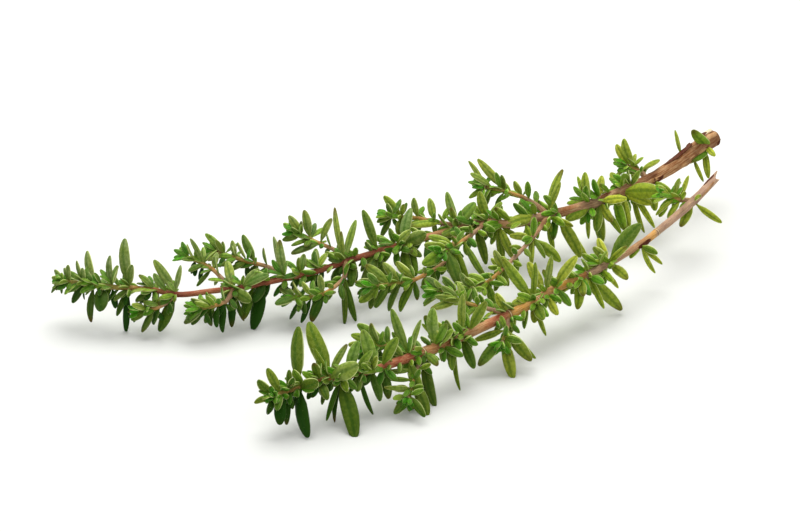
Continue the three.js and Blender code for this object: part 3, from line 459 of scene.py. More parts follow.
def leafRoom(leaf):      # points along a leaf, each with the room that it takes
    return [(leafPoint(leaf, s), growth["roomOfWidth"] * leaf["width"]
             * math.sin(math.pi * s ** growth["widestAt"]) ** growth["bluntness"])
            for s in growth["roomShares"]]


def stemRoom(stem):
    steps = reading["roomSteps"]
    count = math.ceil(pathLength([curvePoint(stem["points"], k / steps) for k in range(steps + 1)]))
    shares = [mix(stem["start"], 1, k / count) for k in range(count + 1)]
    return [(curvePoint(stem["points"], s), thickAt(stem["thick"], s) / 2) for s in shares]


def isClear(spots, points, rooms, gap):
    for point, room in spots:
        if np.any(np.linalg.norm(points - point, axis=1) <= rooms + room + gap):
            return False
    return True


def prepareMain(stem):
    return dict(stem, points=[boardPoint(p) for p in stem["route"]], start=0, tipward=-1,
                isMain=True)


def prepareShoot(shoot, index, parent, sprig):
    points = [boardPoint(p) for p in shoot["route"]]
    parentShare = shareAtX(parent["points"], shoot["route"][0][0])
    parentPoint = curvePoint(parent["points"], parentShare)
    thick = growth["shootThick"]
    reach = thickAt(parent["thick"], parentShare) / 2 + thick[0] / 2 + growth["jointGap"]
    start = 0
    while np.linalg.norm(curvePoint(points, start) - parentPoint) < reach * growth["obliqueStart"]:
        start += growth["shareStep"]
    return dict(shoot, points=points, start=start, tipward=1, isMain=False, thick=thick,
                name=f"{sprig}_shoot_{index + 1}",
                seed=draws["shootSeed"] * (index + 1) + parent["seed"])


rear = prepareMain(rearStem)
foremost = prepareMain(frontStem)
stems = [rear, foremost]
stems += [prepareShoot(shoot, k, rear, "rear") for k, shoot in enumerate(rearShoots)]
stems += [prepareShoot(shoot, k, foremost, "front") for k, shoot in enumerate(frontShoots)]
for stem in stems:
    stem["taken"] = stemRoom(stem)
for stem in stems:       # a leaf that would touch another stem's growth is left out, unless listed
    others = [spot for other in stems if other is not stem for spot in other["taken"]]
    points = np.array([spot[0] for spot in others])
    rooms = np.array([spot[1] for spot in others])
    stem["leaves"] = [leaf for leaf in growLeaves(stem) if leaf["kind"] == "listed"
                      or isClear(leafRoom(leaf), points, rooms, growth["clearance"])]
    stem["taken"] += [spot for leaf in stem["leaves"] for spot in leafRoom(leaf)]
print("grown", len(stems), "stems with", sum(len(stem["leaves"]) for stem in stems), "leaves")


# Materials
def colour(hexCode):     # a screen colour as the linear values that shaders take
    parts = [int(hexCode[k:k + 2], 16) / 255 for k in (0, 2, 4)]
    return tuple(((c + 0.055) / 1.055) ** 2.4 if c > 0.04 else c / 12.92 for c in parts) + (1,)


def addNode(tree, kind, inputs=(), **settings):
    node = tree.nodes.new(kind)
    for name, value in settings.items():
        setattr(node, name, value)
    for key, value in dict(inputs).items():
        if isinstance(value, bpy.types.NodeSocket):
            tree.links.new(value, node.inputs[key])
        else:
            node.inputs[key].default_value = value
    return node


def maths(tree, operation, *values):
    return addNode(tree, "ShaderNodeMath", enumerate(values), operation=operation).outputs[0]


def times(tree, first, *others):
    for other in others:
        first = maths(tree, "MULTIPLY", first, other)
    return first


def ramp(tree, value, low, high, start=0.0, end=1.0):    # a smooth step of value between low and high
    node = addNode(tree, "ShaderNodeMapRange", {"Value": value, "From Min": low, "From Max": high,
                                                "To Min": start, "To Max": end},
                   interpolation_type="SMOOTHSTEP")
    return node.outputs["Result"]


def blend(tree, factor, first, second):
    mixed = addNode(tree, "ShaderNodeMix", {0: factor, 6: first, 7: second}, data_type="RGBA")
    return mixed.outputs[2]


def laidOver(tree, body, layers):      # each colour over the last ones, where its mask shows
    for mask, tone in layers:
        body = blend(tree, mask, body, tone)
    return body


def attribute(tree, name):
    return addNode(tree, "ShaderNodeAttribute", attribute_name=name).outputs["Color"]


def threeParts(tree, value):
    return addNode(tree, "ShaderNodeSeparateColor", {0: value}).outputs[:3]


def newGroup(name, inputs, outputs):   # each input with the value that it starts from
    group = bpy.data.node_groups.new(name, "ShaderNodeTree")
    for label, start in inputs.items():
        socket = group.interface.new_socket(label, in_out="INPUT", socket_type="NodeSocketFloat")
        socket.default_value = start
    for label in outputs:
        group.interface.new_socket(label, in_out="OUTPUT", socket_type="NodeSocketFloat")
    return group, group.nodes.new("NodeGroupInput").outputs, group.nodes.new("NodeGroupOutput").inputs


speckles = {
    "blotchScale": 300, "grainScale": 3000,      # where a material gives none
    "mottleFiner": 3.5, "blotchDetail": 3.0, "mottleDetail": 2.0,
    "blotch": (0.3, 0.7), "mottle": (0.35, 0.65), "grain": (0.0, 0.5),
}
marksAt = {          # shares of the way across a leaf from its top rib, where each mark begins and ends
    "edge": 0.5, "rib": (0.12, 0.02), "edgeReach": (0.16, 0.02), "under": (0.52, 0.6),
    "inside": (0.46, 0.38), "veinSlant": 0.5, "veins": (0.75, 1.0), "veinCount": 9,
}


def speckleGroup():      # soft blotches with fine pits and hair points over them
    group, given, made = newGroup(
        "speckle", {"Blotch Scale": speckles["blotchScale"], "Grain Scale": speckles["grainScale"]},
        ("Blotch", "Mottle", "Grain"))
    place = addNode(group, "ShaderNodeTexCoord").outputs["Object"]
    blotch = addNode(group, "ShaderNodeTexNoise", {
        "Vector": place, "Scale": given["Blotch Scale"], "Detail": speckles["blotchDetail"]})
    mottleScale = times(group, given["Blotch Scale"], speckles["mottleFiner"])
    mottle = addNode(group, "ShaderNodeTexNoise", {
        "Vector": place, "Scale": mottleScale, "Detail": speckles["mottleDetail"]})
    grain = addNode(group, "ShaderNodeTexVoronoi", {"Vector": place, "Scale": given["Grain Scale"]})
    group.links.new(ramp(group, blotch.outputs[0], *speckles["blotch"]), made["Blotch"])
    group.links.new(ramp(group, mottle.outputs[0], *speckles["mottle"]), made["Mottle"])
    group.links.new(ramp(group, grain.outputs["Distance"], *speckles["grain"]), made["Grain"])
    return group


def leafMarksGroup():    # where the rib, the side veins, the edge and the underside are
    group, given, made = newGroup("leafMarks", {"Vein Count": marksAt["veinCount"]},
                                  ("Along", "Rib", "Edge", "Under", "Veins"))
    uv = addNode(group, "ShaderNodeUVMap", uv_map="pieceUv").outputs[0]
    parts = addNode(group, "ShaderNodeSeparateXYZ", {0: uv}).outputs
    centred = maths(group, "ABSOLUTE", maths(group, "SUBTRACT", parts["Y"], 0.5))
    across = times(group, centred, 2.0)      # 0 on the top rib, 0.5 at the edge, 1 on the under rib
    fromEdge = maths(group, "ABSOLUTE", maths(group, "SUBTRACT", across, marksAt["edge"]))
    slant = maths(group, "SUBTRACT", parts["X"], times(group, across, marksAt["veinSlant"]))
    wave = maths(group, "SINE", times(group, slant, given["Vein Count"], 2 * math.pi))
    veins = times(group, ramp(group, wave, *marksAt["veins"]), ramp(group, across, *marksAt["inside"]))
    group.links.new(parts["X"], made["Along"])
    group.links.new(ramp(group, across, *marksAt["rib"]), made["Rib"])
    group.links.new(ramp(group, fromEdge, *marksAt["edgeReach"]), made["Edge"])
    group.links.new(ramp(group, across, *marksAt["under"]), made["Under"])
    group.links.new(veins, made["Veins"])
    return group


def useGroup(tree, group, **values):
    node = addNode(tree, "ShaderNodeGroup", node_tree=group)
    for label, value in values.items():
        node.inputs[label.replace("_", " ")].default_value = value
    return node.outputs


def newMaterial(name, roughness, specular):
    material = bpy.data.materials.new(name)
    material.use_nodes = True
    tree = material.node_tree
    skin = tree.nodes["Principled BSDF"].inputs
    skin["Roughness"].default_value = roughness
    skin["Specular IOR Level"].default_value = specular
    return material, tree, skin


speckle = speckleGroup()
leafMarks = leafMarksGroup()

# The greens of the leaves, and how strongly and from where to where along a leaf each mark shows
leafLook = {
    "deep": "345402", "light": "b0c432", "warmDeep": "688206", "warmLight": "d0d236",
    "grey": "a0b072", "young": "42aa06", "under": "9cac42", "edge": "eaf2a0", "rib": "265a04",
    # shade is the dark green of painted shade, laid on leaves that hang down
    "foot": "9cac30", "shade": "143c02", "dry": "553216",
    "greyPatches": 0.45, "mottled": 0.4, "felted": 0.15, "youngFade": 0.6, "underShows": 0.5,
    "rims": (0.1, 0.95), "rimsAlong": (0.0, 0.4), "ribShows": 0.5, "veinsShow": 0.05,
    "footShows": 0.35, "footAlong": (0.35, 0.0), "dryAlong": (0.72, 1.0), "veins": 8.0,
    "blotchScale": 420.0, "grainScale": 5200.0, "roughness": 0.5, "specular": 0.07,
    "sheen": 0.025, "sheenRoughness": 0.35, "sheenTint": "f2f4cc",
    "grainHeight": 0.5, "veinHeight": -0.4, "ribHeight": -1.2, "bump": (0.45, 0.00008),
}
barkLook = {
    "pale": "ecca9a", "dark": "401c08", "knot": "46220e", "scar": "e2c498", "cut": "ecd2a4",
    "pith": "4a2c16", "streaks": (0.05, 0.55), "streaksFrom": (0.02, 0.2), "streakAt": (0.4, 0.66),
    "cracks": 0.75, "crackAt": (0.4, 0.3), "blotches": 0.35, "blotchDark": 0.6,
    "knotShows": 0.3, "collarShows": 0.6, "collarAt": (0.1, 0.5), "scarShows": 0.9,
    "scarAt": (0.6, 1.0), "cutAt": (0.02, 0.16), "pithAt": (0.55, 0.72),
    "blotchScale": 330.0, "grainScale": 2600.0, "grainStretch": (1.4, 9.0, 1.0),
    "grain": {"Scale": 3.2, "Detail": 6.0, "Roughness": 0.7}, "roughness": 0.58,
    "specular": 0.08, "pitHeight": 0.25, "bump": (0.9, 0.00022),
}
downLook = {"pale": "e6ecb4", "green": "bccb84", "scale": 500.0, "roughness": 0.6, "specular": 0.3}


def addBump(tree, skin, height, strength, distance):
    bump = addNode(tree, "ShaderNodeBump",
                   {"Height": height, "Strength": strength, "Distance": distance})
    tree.links.new(bump.outputs[0], skin["Normal"])


def leafMaterial(name, look):
    material, tree, skin = newMaterial(name, look["roughness"], look["specular"])
    marks = useGroup(tree, leafMarks, Vein_Count=look["veins"])
    spots = useGroup(tree, speckle, Blotch_Scale=look["blotchScale"], Grain_Scale=look["grainScale"])
    tone, age, dry = threeParts(tree, attribute(tree, "leafTint"))
    # leafKind carries warmth, greyness (felt, with painted light on raised leaves) and painted shade
    warm, grey, shade = threeParts(tree, attribute(tree, "leafKind"))
    along = marks["Along"]
    cool = blend(tree, tone, colour(look["deep"]), colour(look["light"]))
    yellow = blend(tree, tone, colour(look["warmDeep"]), colour(look["warmLight"]))
    grown = maths(tree, "SUBTRACT", 1.0, times(tree, age, look["youngFade"]))
    patches = ramp(tree, spots["Blotch"], 0.0, 1.0, look["greyPatches"], 1.0)
    felt = maths(tree, "SUBTRACT", 1.0, spots["Grain"])
    rims = ramp(tree, along, *look["rimsAlong"], *look["rims"])
    layers = [
        (age, "young"),
        # grey felt, laid on more thickly where a leaf rises, as painted light
        (times(tree, grey, patches), "grey"),
        (times(tree, spots["Mottle"], look["mottled"]), "deep"),
        (times(tree, felt, look["felted"], grown), "edge"),
        (times(tree, marks["Under"], look["underShows"]), "under"),
        (times(tree, marks["Edge"], rims, grown), "edge"),
        (times(tree, marks["Rib"], look["ribShows"]), "rib"),
        (times(tree, marks["Veins"], look["veinsShow"]), "edge"),
        (times(tree, ramp(tree, along, *look["footAlong"]), look["footShows"]), "foot"),
        # painted shade: leaves that hang down are darkened towards the shade green
        (shade, "shade"),
        (times(tree, ramp(tree, along, *look["dryAlong"]), dry), "dry"),
    ]
    body = laidOver(tree, blend(tree, warm, cool, yellow),
                    [(mask, colour(look[tone])) for mask, tone in layers])
    tree.links.new(body, skin["Base Color"])
    skin["Sheen Weight"].default_value = look["sheen"]
    skin["Sheen Roughness"].default_value = look["sheenRoughness"]
    skin["Sheen Tint"].default_value = colour(look["sheenTint"])
    height = maths(tree, "ADD", times(tree, spots["Grain"], look["grainHeight"]),
                   times(tree, marks["Veins"], look["veinHeight"]))
    height = maths(tree, "ADD", height, times(tree, marks["Rib"], look["ribHeight"]))
    addBump(tree, skin, height, *look["bump"])
    return material


def barkMaterial(name, look):
    material, tree, skin = newMaterial(name, look["roughness"], look["specular"])
    uv = addNode(tree, "ShaderNodeUVMap", uv_map="pieceUv").outputs[0]
    tone = attribute(tree, "barkTone")
    knot, collar, cut = threeParts(tree, attribute(tree, "barkMarks"))
    spots = useGroup(tree, speckle, Blotch_Scale=look["blotchScale"], Grain_Scale=look["grainScale"])
    stretched = addNode(tree, "ShaderNodeMapping", {"Vector": uv, "Scale": look["grainStretch"]})
    grain = addNode(tree, "ShaderNodeTexNoise",
                    {"Vector": stretched.outputs[0], **look["grain"]}).outputs[0]
    bright = addNode(tree, "ShaderNodeRGBToBW", {0: tone}).outputs[0]
    dark = colour(look["dark"])
    streaks = times(tree, ramp(tree, grain, *look["streakAt"]),
                    ramp(tree, bright, *look["streaksFrom"], *look["streaks"]))
    cracks = times(tree, ramp(tree, grain, *look["crackAt"]), look["cracks"])
    collars = times(tree, ramp(tree, collar, *look["collarAt"]), look["collarShows"])
    scars = times(tree, ramp(tree, collar, *look["scarAt"]), look["scarShows"])
    cutTone = blend(tree, ramp(tree, cut, *look["pithAt"]), colour(look["cut"]), colour(look["pith"]))
    body = laidOver(tree, tone, [
        (streaks, colour(look["pale"])),
        (cracks, dark),
        (times(tree, spots["Blotch"], look["blotches"]), blend(tree, look["blotchDark"], tone, dark)),
        (times(tree, knot, look["knotShows"]), colour(look["knot"])),
        (collars, colour(look["knot"])),
        (scars, colour(look["scar"])),
        (ramp(tree, cut, *look["cutAt"]), cutTone),
    ])
    tree.links.new(body, skin["Base Color"])
    height = maths(tree, "ADD", grain, times(tree, spots["Grain"], look["pitHeight"]))
    addBump(tree, skin, height, *look["bump"])
    return material


def downMaterial(name, look):      # pale hairs, a little greener at random places
    material, tree, skin = newMaterial(name, look["roughness"], look["specular"])
    place = addNode(tree, "ShaderNodeTexCoord").outputs["Object"]
    patches = addNode(tree, "ShaderNodeTexNoise", {"Vector": place, "Scale": look["scale"]})
    body = blend(tree, patches.outputs[0], colour(look["pale"]), colour(look["green"]))
    tree.links.new(body, skin["Base Color"])
    return material


leafSkin = leafMaterial("thyme_leaf", leafLook)
bark = barkMaterial("thyme_bark", barkLook)
down = downMaterial("thyme_hairs", downLook)
print("materials made")


# Tools for meshes
def deselectAll():
    bpy.ops.object.select_all(action="DESELECT")


def readPlaces(mesh):
    places = np.empty(len(mesh.vertices) * 3, np.float32)
    mesh.vertices.foreach_get("co", places)
    return places.reshape(-1, 3).astype(float)


def writePlaces(mesh, places):
    mesh.vertices.foreach_set("co", np.asarray(places, np.float32).ravel())
    mesh.update()


def readTurns(mesh):                   # how far round its ring each vertex is, from 0 to 1
    values = np.empty(len(mesh.vertices), np.float32)
    mesh.attributes["turn"].data.foreach_get("value", values)
    return values.astype(float)


def tintPoints(mesh, name, tints):     # three numbers for each vertex, which the material reads
    layer = mesh.attributes.get(name) or mesh.attributes.new(name, "FLOAT_COLOR", "POINT")
    values = np.ones((len(mesh.vertices), 4), np.float32)
    values[:, :3] = tints
    layer.data.foreach_set("color", values.ravel())


seamTurn = 0.25          # added to the turn round a piece, so that the seam is underneath


def wrapUv(mesh, along, around):       # along a piece and once round it
    layer = mesh.uv_layers.new(name="pieceUv")
    for face in mesh.polygons:
        corners = list(face.loop_indices)
        turns = [around[mesh.loops[k].vertex_index] for k in corners]
        crossesSeam = max(turns) - min(turns) > 0.5
        for k, turn in zip(corners, turns):
            if crossesSeam and turn < 0.5:
                turn += 1
            layer.data[k].uv = (along[mesh.loops[k].vertex_index], turn)


def roundSection(name, around):        # a filled ring of points in the plane across X
    deselectAll()
    bpy.ops.mesh.primitive_circle_add(vertices=around, radius=1, fill_type="NGON",
                                      rotation=(0, math.pi / 2, 0))
    section = bpy.context.object
    section.name = name
    bpy.ops.object.transform_apply(rotation=True)
    places = readPlaces(section.data)
    turns = np.arctan2(places[:, 2], places[:, 1]) / (2 * np.pi) % 1
    layer = section.data.attributes.new("turn", "FLOAT", "POINT")     # every extrusion copies it
    layer.data.foreach_set("value", np.asarray(turns, np.float32))
    return section


def drawnOut(name, around, steps, length):     # a round section drawn out along X in even steps
    piece = roundSection(name, around)
    bpy.ops.object.mode_set(mode="EDIT")
    bpy.ops.mesh.select_all(action="SELECT")
    bpy.ops.mesh.extrude_repeat(steps=steps, offset=(length / steps, 0, 0))
    bpy.ops.mesh.select_all(action="SELECT")
    bpy.ops.mesh.normals_make_consistent(inside=False)
    bpy.ops.object.mode_set(mode="OBJECT")
    return piece


def joined(name, pieces):
    deselectAll()
    for piece in pieces:
        piece.select_set(True)
    bpy.context.view_layer.objects.active = pieces[0]
    if len(pieces) > 1:
        bpy.ops.object.join()
    pieces[0].name = name
    pieces[0].data.name = name
    return pieces[0]


# Leaves. Three blanks are drawn out ring by ring, and each leaf is a copy of one of them, laid
# along its own line. Across the blade a section goes from one edge over the top to the other and
# back underneath: place as a share of the half width, height as a share of the blade's depth.
blade = {
    "fine": [(1, -0.22), (0.9, 0.1), (0.5, 0.36), (0, 0.2), (-0.5, 0.36), (-0.9, 0.1),
             (-1, -0.22), (-0.86, -0.52), (-0.45, -0.44), (0, -0.58), (0.45, -0.44), (0.86, -0.52)],
    "plain": [(1, -0.18), (0.64, 0.32), (0, 0.2), (-0.64, 0.32),
              (-1, -0.18), (-0.7, -0.52), (0, -0.46), (0.7, -0.52)],
    "steps": {"large": 10, "middle": 8, "small": 6},
    "widestAt": 1.1, "bluntness": 0.46, "narrowFoot": (0.3, 2.4), "flatter": 0.8,
    "stalk": 0.26, "stalkEnds": 0.3, "tipEnds": 0.985,
    "depth": (0.42, 0.27),         # mm, and its growth with the width
    "rise": 0.1,                   # lifts the section so that the blade's middle is on its line
    "largeFrom": 6.2,              # mm long
    "measured": 0.96,              # on the widths that the list gives
    "stouter": ((5, 8), (1.18, 1.0)),      # on the other widths, between two lengths in mm
    "bend": 0.65, "twist": 0.35, "twistFrom": 0.3, "cup": (0.0, 0.35), "recurve": (0.0, 0.09),
    "sway": 0.05,
    "frontward": {"listed": 0.45, "young": 0.2, "rosette": 0.2, "bud": 0.2, "heart": 0},
    "frontwardMeasured": 2,
}


def outlineAt(share):    # half width along the blade, from a narrow stalk to a blunt tip
    body = max(math.sin(math.pi * share ** blade["widestAt"]), 0) ** blade["bluntness"]
    footStart, footGrowth = blade["narrowFoot"]
    stalk = blade["stalk"] if share < blade["stalkEnds"] else 0
    return max(body * min(footStart + footGrowth * share, 1), stalk)


def leafBlank(name, section, steps):
    blank = roundSection(name, len(section))
    slots = np.round(readTurns(blank.data) * len(section)).astype(int) % len(section)
    spots = np.array(section)[slots]
    wide = outlineAt(0)
    writePlaces(blank.data, np.column_stack([0 * spots[:, 0], spots[:, 0] * wide, spots[:, 1] * wide]))
    bpy.ops.object.mode_set(mode="EDIT")
    bpy.ops.mesh.select_all(action="SELECT")
    share = 0
    for k in range(1, steps + 1):      # rings crowd towards both ends
        further = blade["tipEnds"] * (1 - math.cos(math.pi * k / steps)) / 2
        wider = outlineAt(further)
        bpy.ops.mesh.extrude_region_move(TRANSFORM_OT_translate={"value": (further - share, 0, 0)})
        bpy.ops.transform.resize(value=(1, wider / wide, (wider / wide) ** blade["flatter"]),
                                 center_override=(further, 0, 0))
        share, wide = further, wider
    bpy.ops.mesh.extrude_region_move(TRANSFORM_OT_translate={"value": (1 - share, 0, 0)})
    bpy.ops.mesh.merge(type="CENTER")
    bpy.ops.mesh.select_all(action="SELECT")
    bpy.ops.mesh.normals_make_consistent(inside=False)
    bpy.ops.object.mode_set(mode="OBJECT")
    bpy.ops.object.shade_smooth()
    wrapUv(blank.data, readPlaces(blank.data)[:, 0], (readTurns(blank.data) + seamTurn) % 1)
    return blank


blanks = {
    "large": leafBlank("blank_large_leaf", blade["fine"], blade["steps"]["large"]),
    "middle": leafBlank("blank_leaf", blade["plain"], blade["steps"]["middle"]),
    "small": leafBlank("blank_young_leaf", blade["plain"], blade["steps"]["small"]),
}
blankPlaces = {size: readPlaces(blank.data) for size, blank in blanks.items()}
print("leaf blanks made")


def laidLeaf(leaf, draw):    # a copy of the fitting blank, bent onto the leaf's line
    size = "middle" if leaf["kind"] == "listed" else "small"
    if leaf["length"] > blade["largeFrom"]:
        size = "large"
    share, across, height = blankPlaces[size].T
    twist = blade["twist"] * (draw() - 0.5) * 2
    cup = mix(*blade["cup"], draw())
    recurve = mix(*blade["recurve"], draw()) * leaf["length"]
    sway = blade["sway"] * (draw() - 0.5) * 2 * leaf["length"]
    stouter, frontward = np.interp(leaf["length"], *blade["stouter"]), blade["frontward"][leaf["kind"]]
    if leaf["measured"]:
        stouter = blade["measured"]
        frontward *= blade["frontwardMeasured"]
    half = leaf["width"] / 2 * stouter
    depth = blade["depth"][0] + blade["depth"][1] * leaf["width"]
    root, tip = leaf["root"], leaf["tip"]
    bend = (root + tip) / 2 * (1 - blade["bend"]) + leaf["bend"] * blade["bend"]
    direction = unit(tip - root)
    face = unit(leaf["face"] + (front - direction * front.dot(direction)) * frontward)
    back = 1 - share
    line = (np.outer(back ** 2, root) + np.outer(2 * back * share, bend)
            + np.outer(share ** 2, tip))
    along = np.outer(back, bend - root) + np.outer(share, tip - bend)
    along /= np.linalg.norm(along, axis=1)[:, None]
    side = np.tile(unit(np.cross(face, direction)), (len(share), 1))
    normal = np.cross(along, side)
    normal /= np.linalg.norm(normal, axis=1)[:, None]
    turn = twist * (share - blade["twistFrom"])
    wide = across * half
    tall = (height + blade["rise"]) * depth - cup * across ** 2 * half
    aside = wide * np.cos(turn) - tall * np.sin(turn) + sway * np.sin(np.pi * share) * share
    raised = wide * np.sin(turn) + tall * np.cos(turn) - recurve * share ** 3
    places = line + side * aside[:, None] + normal * raised[:, None]
    places[:, 2] = np.maximum(places[:, 2], 0)           # low tips lie flat on the surface
    copy = bpy.data.objects.new("leaf", blanks[size].data.copy())
    bpy.context.collection.objects.link(copy)
    writePlaces(copy.data, (places - origin) * mm)
    tintPoints(copy.data, "leafTint", (leaf["tone"], leaf["age"], leaf["dryness"]))
    tintPoints(copy.data, "leafKind", (leaf["warmth"], leaf["greyness"], leaf["shade"]))
    return copy


# Wood. Each stem is a ring of points drawn out along its route, with its bark tones read from x.
wood = {
    "around": 24, "twigAround": 12, "step": 0.7,          # mm along a stem between rings of points
    "knot": 0.16, "knotReach": 0.6, "knotLess": 0.4,      # swelling at the nodes, less on old wood
    "ridge": 0.12, "ridgeLength": 7, "ridgeCount": 3,     # long ridges of the bark
    "lumps": 0.07, "lumpLength": 2.0, "lumpSeed": 3,
    "square": 0.06,                                       # young stems are four-cornered
    "oldFrom": 0.8,                                       # mm of radius where a stem is all old wood
    "footFlare": 0.45, "footReach": 1.0,                  # where a shoot leaves its parent
    "collar": 0.08, "collarReach": 0.26,                  # mm, the scar line round a node
    "collarSteps": (-0.6, -0.3, -0.12, 0, 0.12, 0.3, 0.6),
    "jagReach": 2.4, "jagFade": 1.5, "jagInside": 1.4,
    "cutRings": ((0.82, 0.0), (0.45, 0.25), (0.6, 0.0), (0.7, 0.7)),      # size of each, mm sunk
    "patternLength": 10,                                  # mm along a stem for one length of UV
    "tones": {"olive": "8f8a24", "darkRed": "823a2c", "red": "b0563a", "rust": "ac6426",
              "gold": "cc9440", "tan": "b68252", "grey": "a28068", "brown": "98643c",
              # pale: the painted highlight on top of the rear cut end
              "umber": "744628", "pink": "b08c78", "pale": "ead8ba",
              "bark": "52220e"},
}
rear.update(
    stouter=[(-80, 1.2), (30, 1.12), (60, 1.08), (66, 1.12), (71, 1.22), (74, 1.3)],
    collars=[17.6, 34.6],
    bark=[(-80, "olive"), (-66, "olive"), (-58, "rust"), (-52, "darkRed"), (-44, "red"),
          (-38, "darkRed"), (-26, "red"), (-12, "darkRed"), (-2, "red"), (10, "tan"), (22, "tan"),
          (30, "grey"), (38, "brown"), (46, "grey"), (54, "brown"), (57.6, "umber"), (59.6, "umber"),
          (60.4, "brown"), (68, "brown"), (75, "umber")],
    endJag=[(0, 0.1), (60, 0.0), (95, -0.5), (110, -1.1), (125, -0.5), (165, 0.15), (210, 0.3),
            (255, 0.35), (290, 0.1), (310, -0.7), (330, -0.2), (360, 0.1)])      # degrees, mm
foremost.update(
    stouter=[(-30, 1.2), (-8, 1.3), (6, 1.3), (30, 1.22), (50, 1.08), (74, 0.98)],
    collars=[5.3, 12.9, 25, 31.6, 43.2, 48.9, 59.5],
    bark=[(-30, "olive"), (-16, "rust"), (-8, "red"), (4.8, "red"), (5.6, "tan"), (12, "rust"),
          (13.4, "tan"), (19, "tan"), (22, "red"), (24.8, "red"), (25.3, "gold"), (31, "gold"),
          (32, "tan"), (39, "gold"), (43, "rust"), (43.5, "grey"), (50, "grey"), (56, "tan"),
          (59.2, "gold"), (59.8, "grey"), (63, "pink"), (74, "pink")],
    endJag=[(0, -0.5), (40, -1.3), (75, -0.7), (105, 1.2), (125, 1.4), (150, 0.1), (190, -1.0),
            (240, -0.4), (285, 0.4), (320, 0.4), (360, -0.5)])
twigLook = {             # read from the share of a twig's length instead of from x
    "stouter": [(0, 1.2), (1, 1.2)], "collars": [-999], "endJag": [(0, 0), (360, 0)],
    "bark": [(0, "brown"), (0.35, "grey"), (0.6, "gold"), (0.8, "olive"), (1, "olive")],
}


def stations(stem, length):    # shares along a stem, closer together round each scar line
    shares = list(np.linspace(0, 1, int(length / wood["step"]) + 1))
    for x in stem.get("collars", []):
        at = shareAtX(stem["points"], x)
        shares += [at + mmAlong / length for mmAlong in wood["collarSteps"]]
    return sorted(shares)


def between(stops, places):    # from a list of pairs, (where, value)
    return np.interp(places, *np.array(stops, float).T)


def toneAt(stops, places):
    tones = [colour(wood["tones"][tone]) for at, tone in stops]
    return np.column_stack([between([(at, tone[part]) for (at, _), tone in zip(stops, tones)], places)
                            for part in range(3)])


def nearest(distances, reach):         # 1 at the nearest of several places, fading within the reach
    return np.exp(-(distances / reach) ** 2).max()


def swelling(stem, look, share, along, turn, knotted, place):      # times the stem's own radius
    main = stem["isMain"]
    old = min(place["radius"] / wood["oldFrom"], 1)
    swell = between(look["stouter"], place["point"][0] if main else share)
    swell += wood["knot"] * knotted * (1 - wood["knotLess"] * old)
    swell += wood["ridge"] * old * noise.noise(Vector((
        along / wood["ridgeLength"], wood["ridgeCount"] * math.cos(turn),
        wood["ridgeCount"] * math.sin(turn) + stem["seed"])))
    swell += wood["lumps"] * noise.noise(Vector((
        along / wood["lumpLength"], math.cos(turn),
        math.sin(turn) + wood["lumpSeed"] * stem["seed"])))
    swell += wood["square"] * math.cos(4 * turn) * (1 - old)
    if not main:
        fromFoot = along - stem["start"] * pathLength(stem["points"])
        swell += wood["footFlare"] * math.exp(-max(fromFoot, 0) / wood["footReach"])
    return swell


def drawnStem(stem):
    points, main = stem["points"], stem["isMain"]
    length = pathLength(points)
    rings = stations(stem, length)
    around = wood["around"] if main else wood["twigAround"]
    tube = drawnOut(stem["name"] + "_wood", around, len(rings) - 1, len(rings) - 1)
    places = readPlaces(tube.data)
    places[:, 0] = np.array(rings)[np.round(places[:, 0]).astype(int)]
    writePlaces(tube.data, places)
    if main:
        cutEnd(tube, length)
    bpy.ops.object.shade_smooth()
    places = readPlaces(tube.data)
    shares = np.round(places[:, 0], 6)
    turns = np.arctan2(places[:, 2], places[:, 1])
    reach = np.hypot(places[:, 1], places[:, 2])         # 1 on the skin, 0 in the middle of the cut
    look = stem if main else twigLook
    knots = np.array([shareAtX(points, node["x"]) for node in stem["nodes"]])
    collars = np.array([shareAtX(points, x) for x in look["collars"]])
    frames = {share: frameAt(stem, min(share, 1)) for share in np.unique(shares)}
    knotted, collared = np.zeros(len(shares)), np.zeros(len(shares))
    for k, (share, turn) in enumerate(zip(shares, turns)):
        place = frames[share]
        knotted[k] = nearest((share - knots) * length, wood["knotReach"])
        collared[k] = nearest((share - collars) * length, wood["collarReach"])
        swell = swelling(stem, look, share, share * length, turn, knotted[k], place)
        radius = (place["radius"] * swell + wood["collar"] * collared[k]) * reach[k]
        nearEnd = max(1 - (1 - share) * length / wood["jagReach"], 0) ** wood["jagFade"]
        push = between(look["endJag"], math.degrees(turn) % 360) * nearEnd
        places[k] = (place["point"] + place["side"] * math.cos(turn) * radius
                     + place["top"] * math.sin(turn) * radius
                     + place["forward"] * push * min(reach[k] * wood["jagInside"], 1))
    writePlaces(tube.data, (places - origin) * mm)
    wrapUv(tube.data, shares * length / wood["patternLength"], (turns / (2 * np.pi) + seamTurn) % 1)
    tintPoints(tube.data, "barkTone", toneAt(look["bark"], places[:, 0] if main else shares))
    tintPoints(tube.data, "barkMarks", np.column_stack([knotted, collared, 1 - np.minimum(reach, 1)]))
    return tube


def cutEnd(tube, length):      # the cut: a rim of bark, paler wood, and a sunken pith
    bpy.ops.object.mode_set(mode="EDIT")
    bpy.ops.mesh.select_all(action="DESELECT")
    mesh = bmesh.from_edit_mesh(tube.data)
    last = max((face for face in mesh.faces if len(face.verts) > 4),
               key=lambda face: face.calc_center_median().x)
    last.select_set(True)
    bmesh.update_edit_mesh(tube.data)
    for inner, sunk in wood["cutRings"]:
        bpy.ops.mesh.extrude_region_move(TRANSFORM_OT_translate={"value": (-sunk / length, 0, 0)})
        bpy.ops.transform.resize(value=(1, inner, inner))
    bpy.ops.object.mode_set(mode="OBJECT")
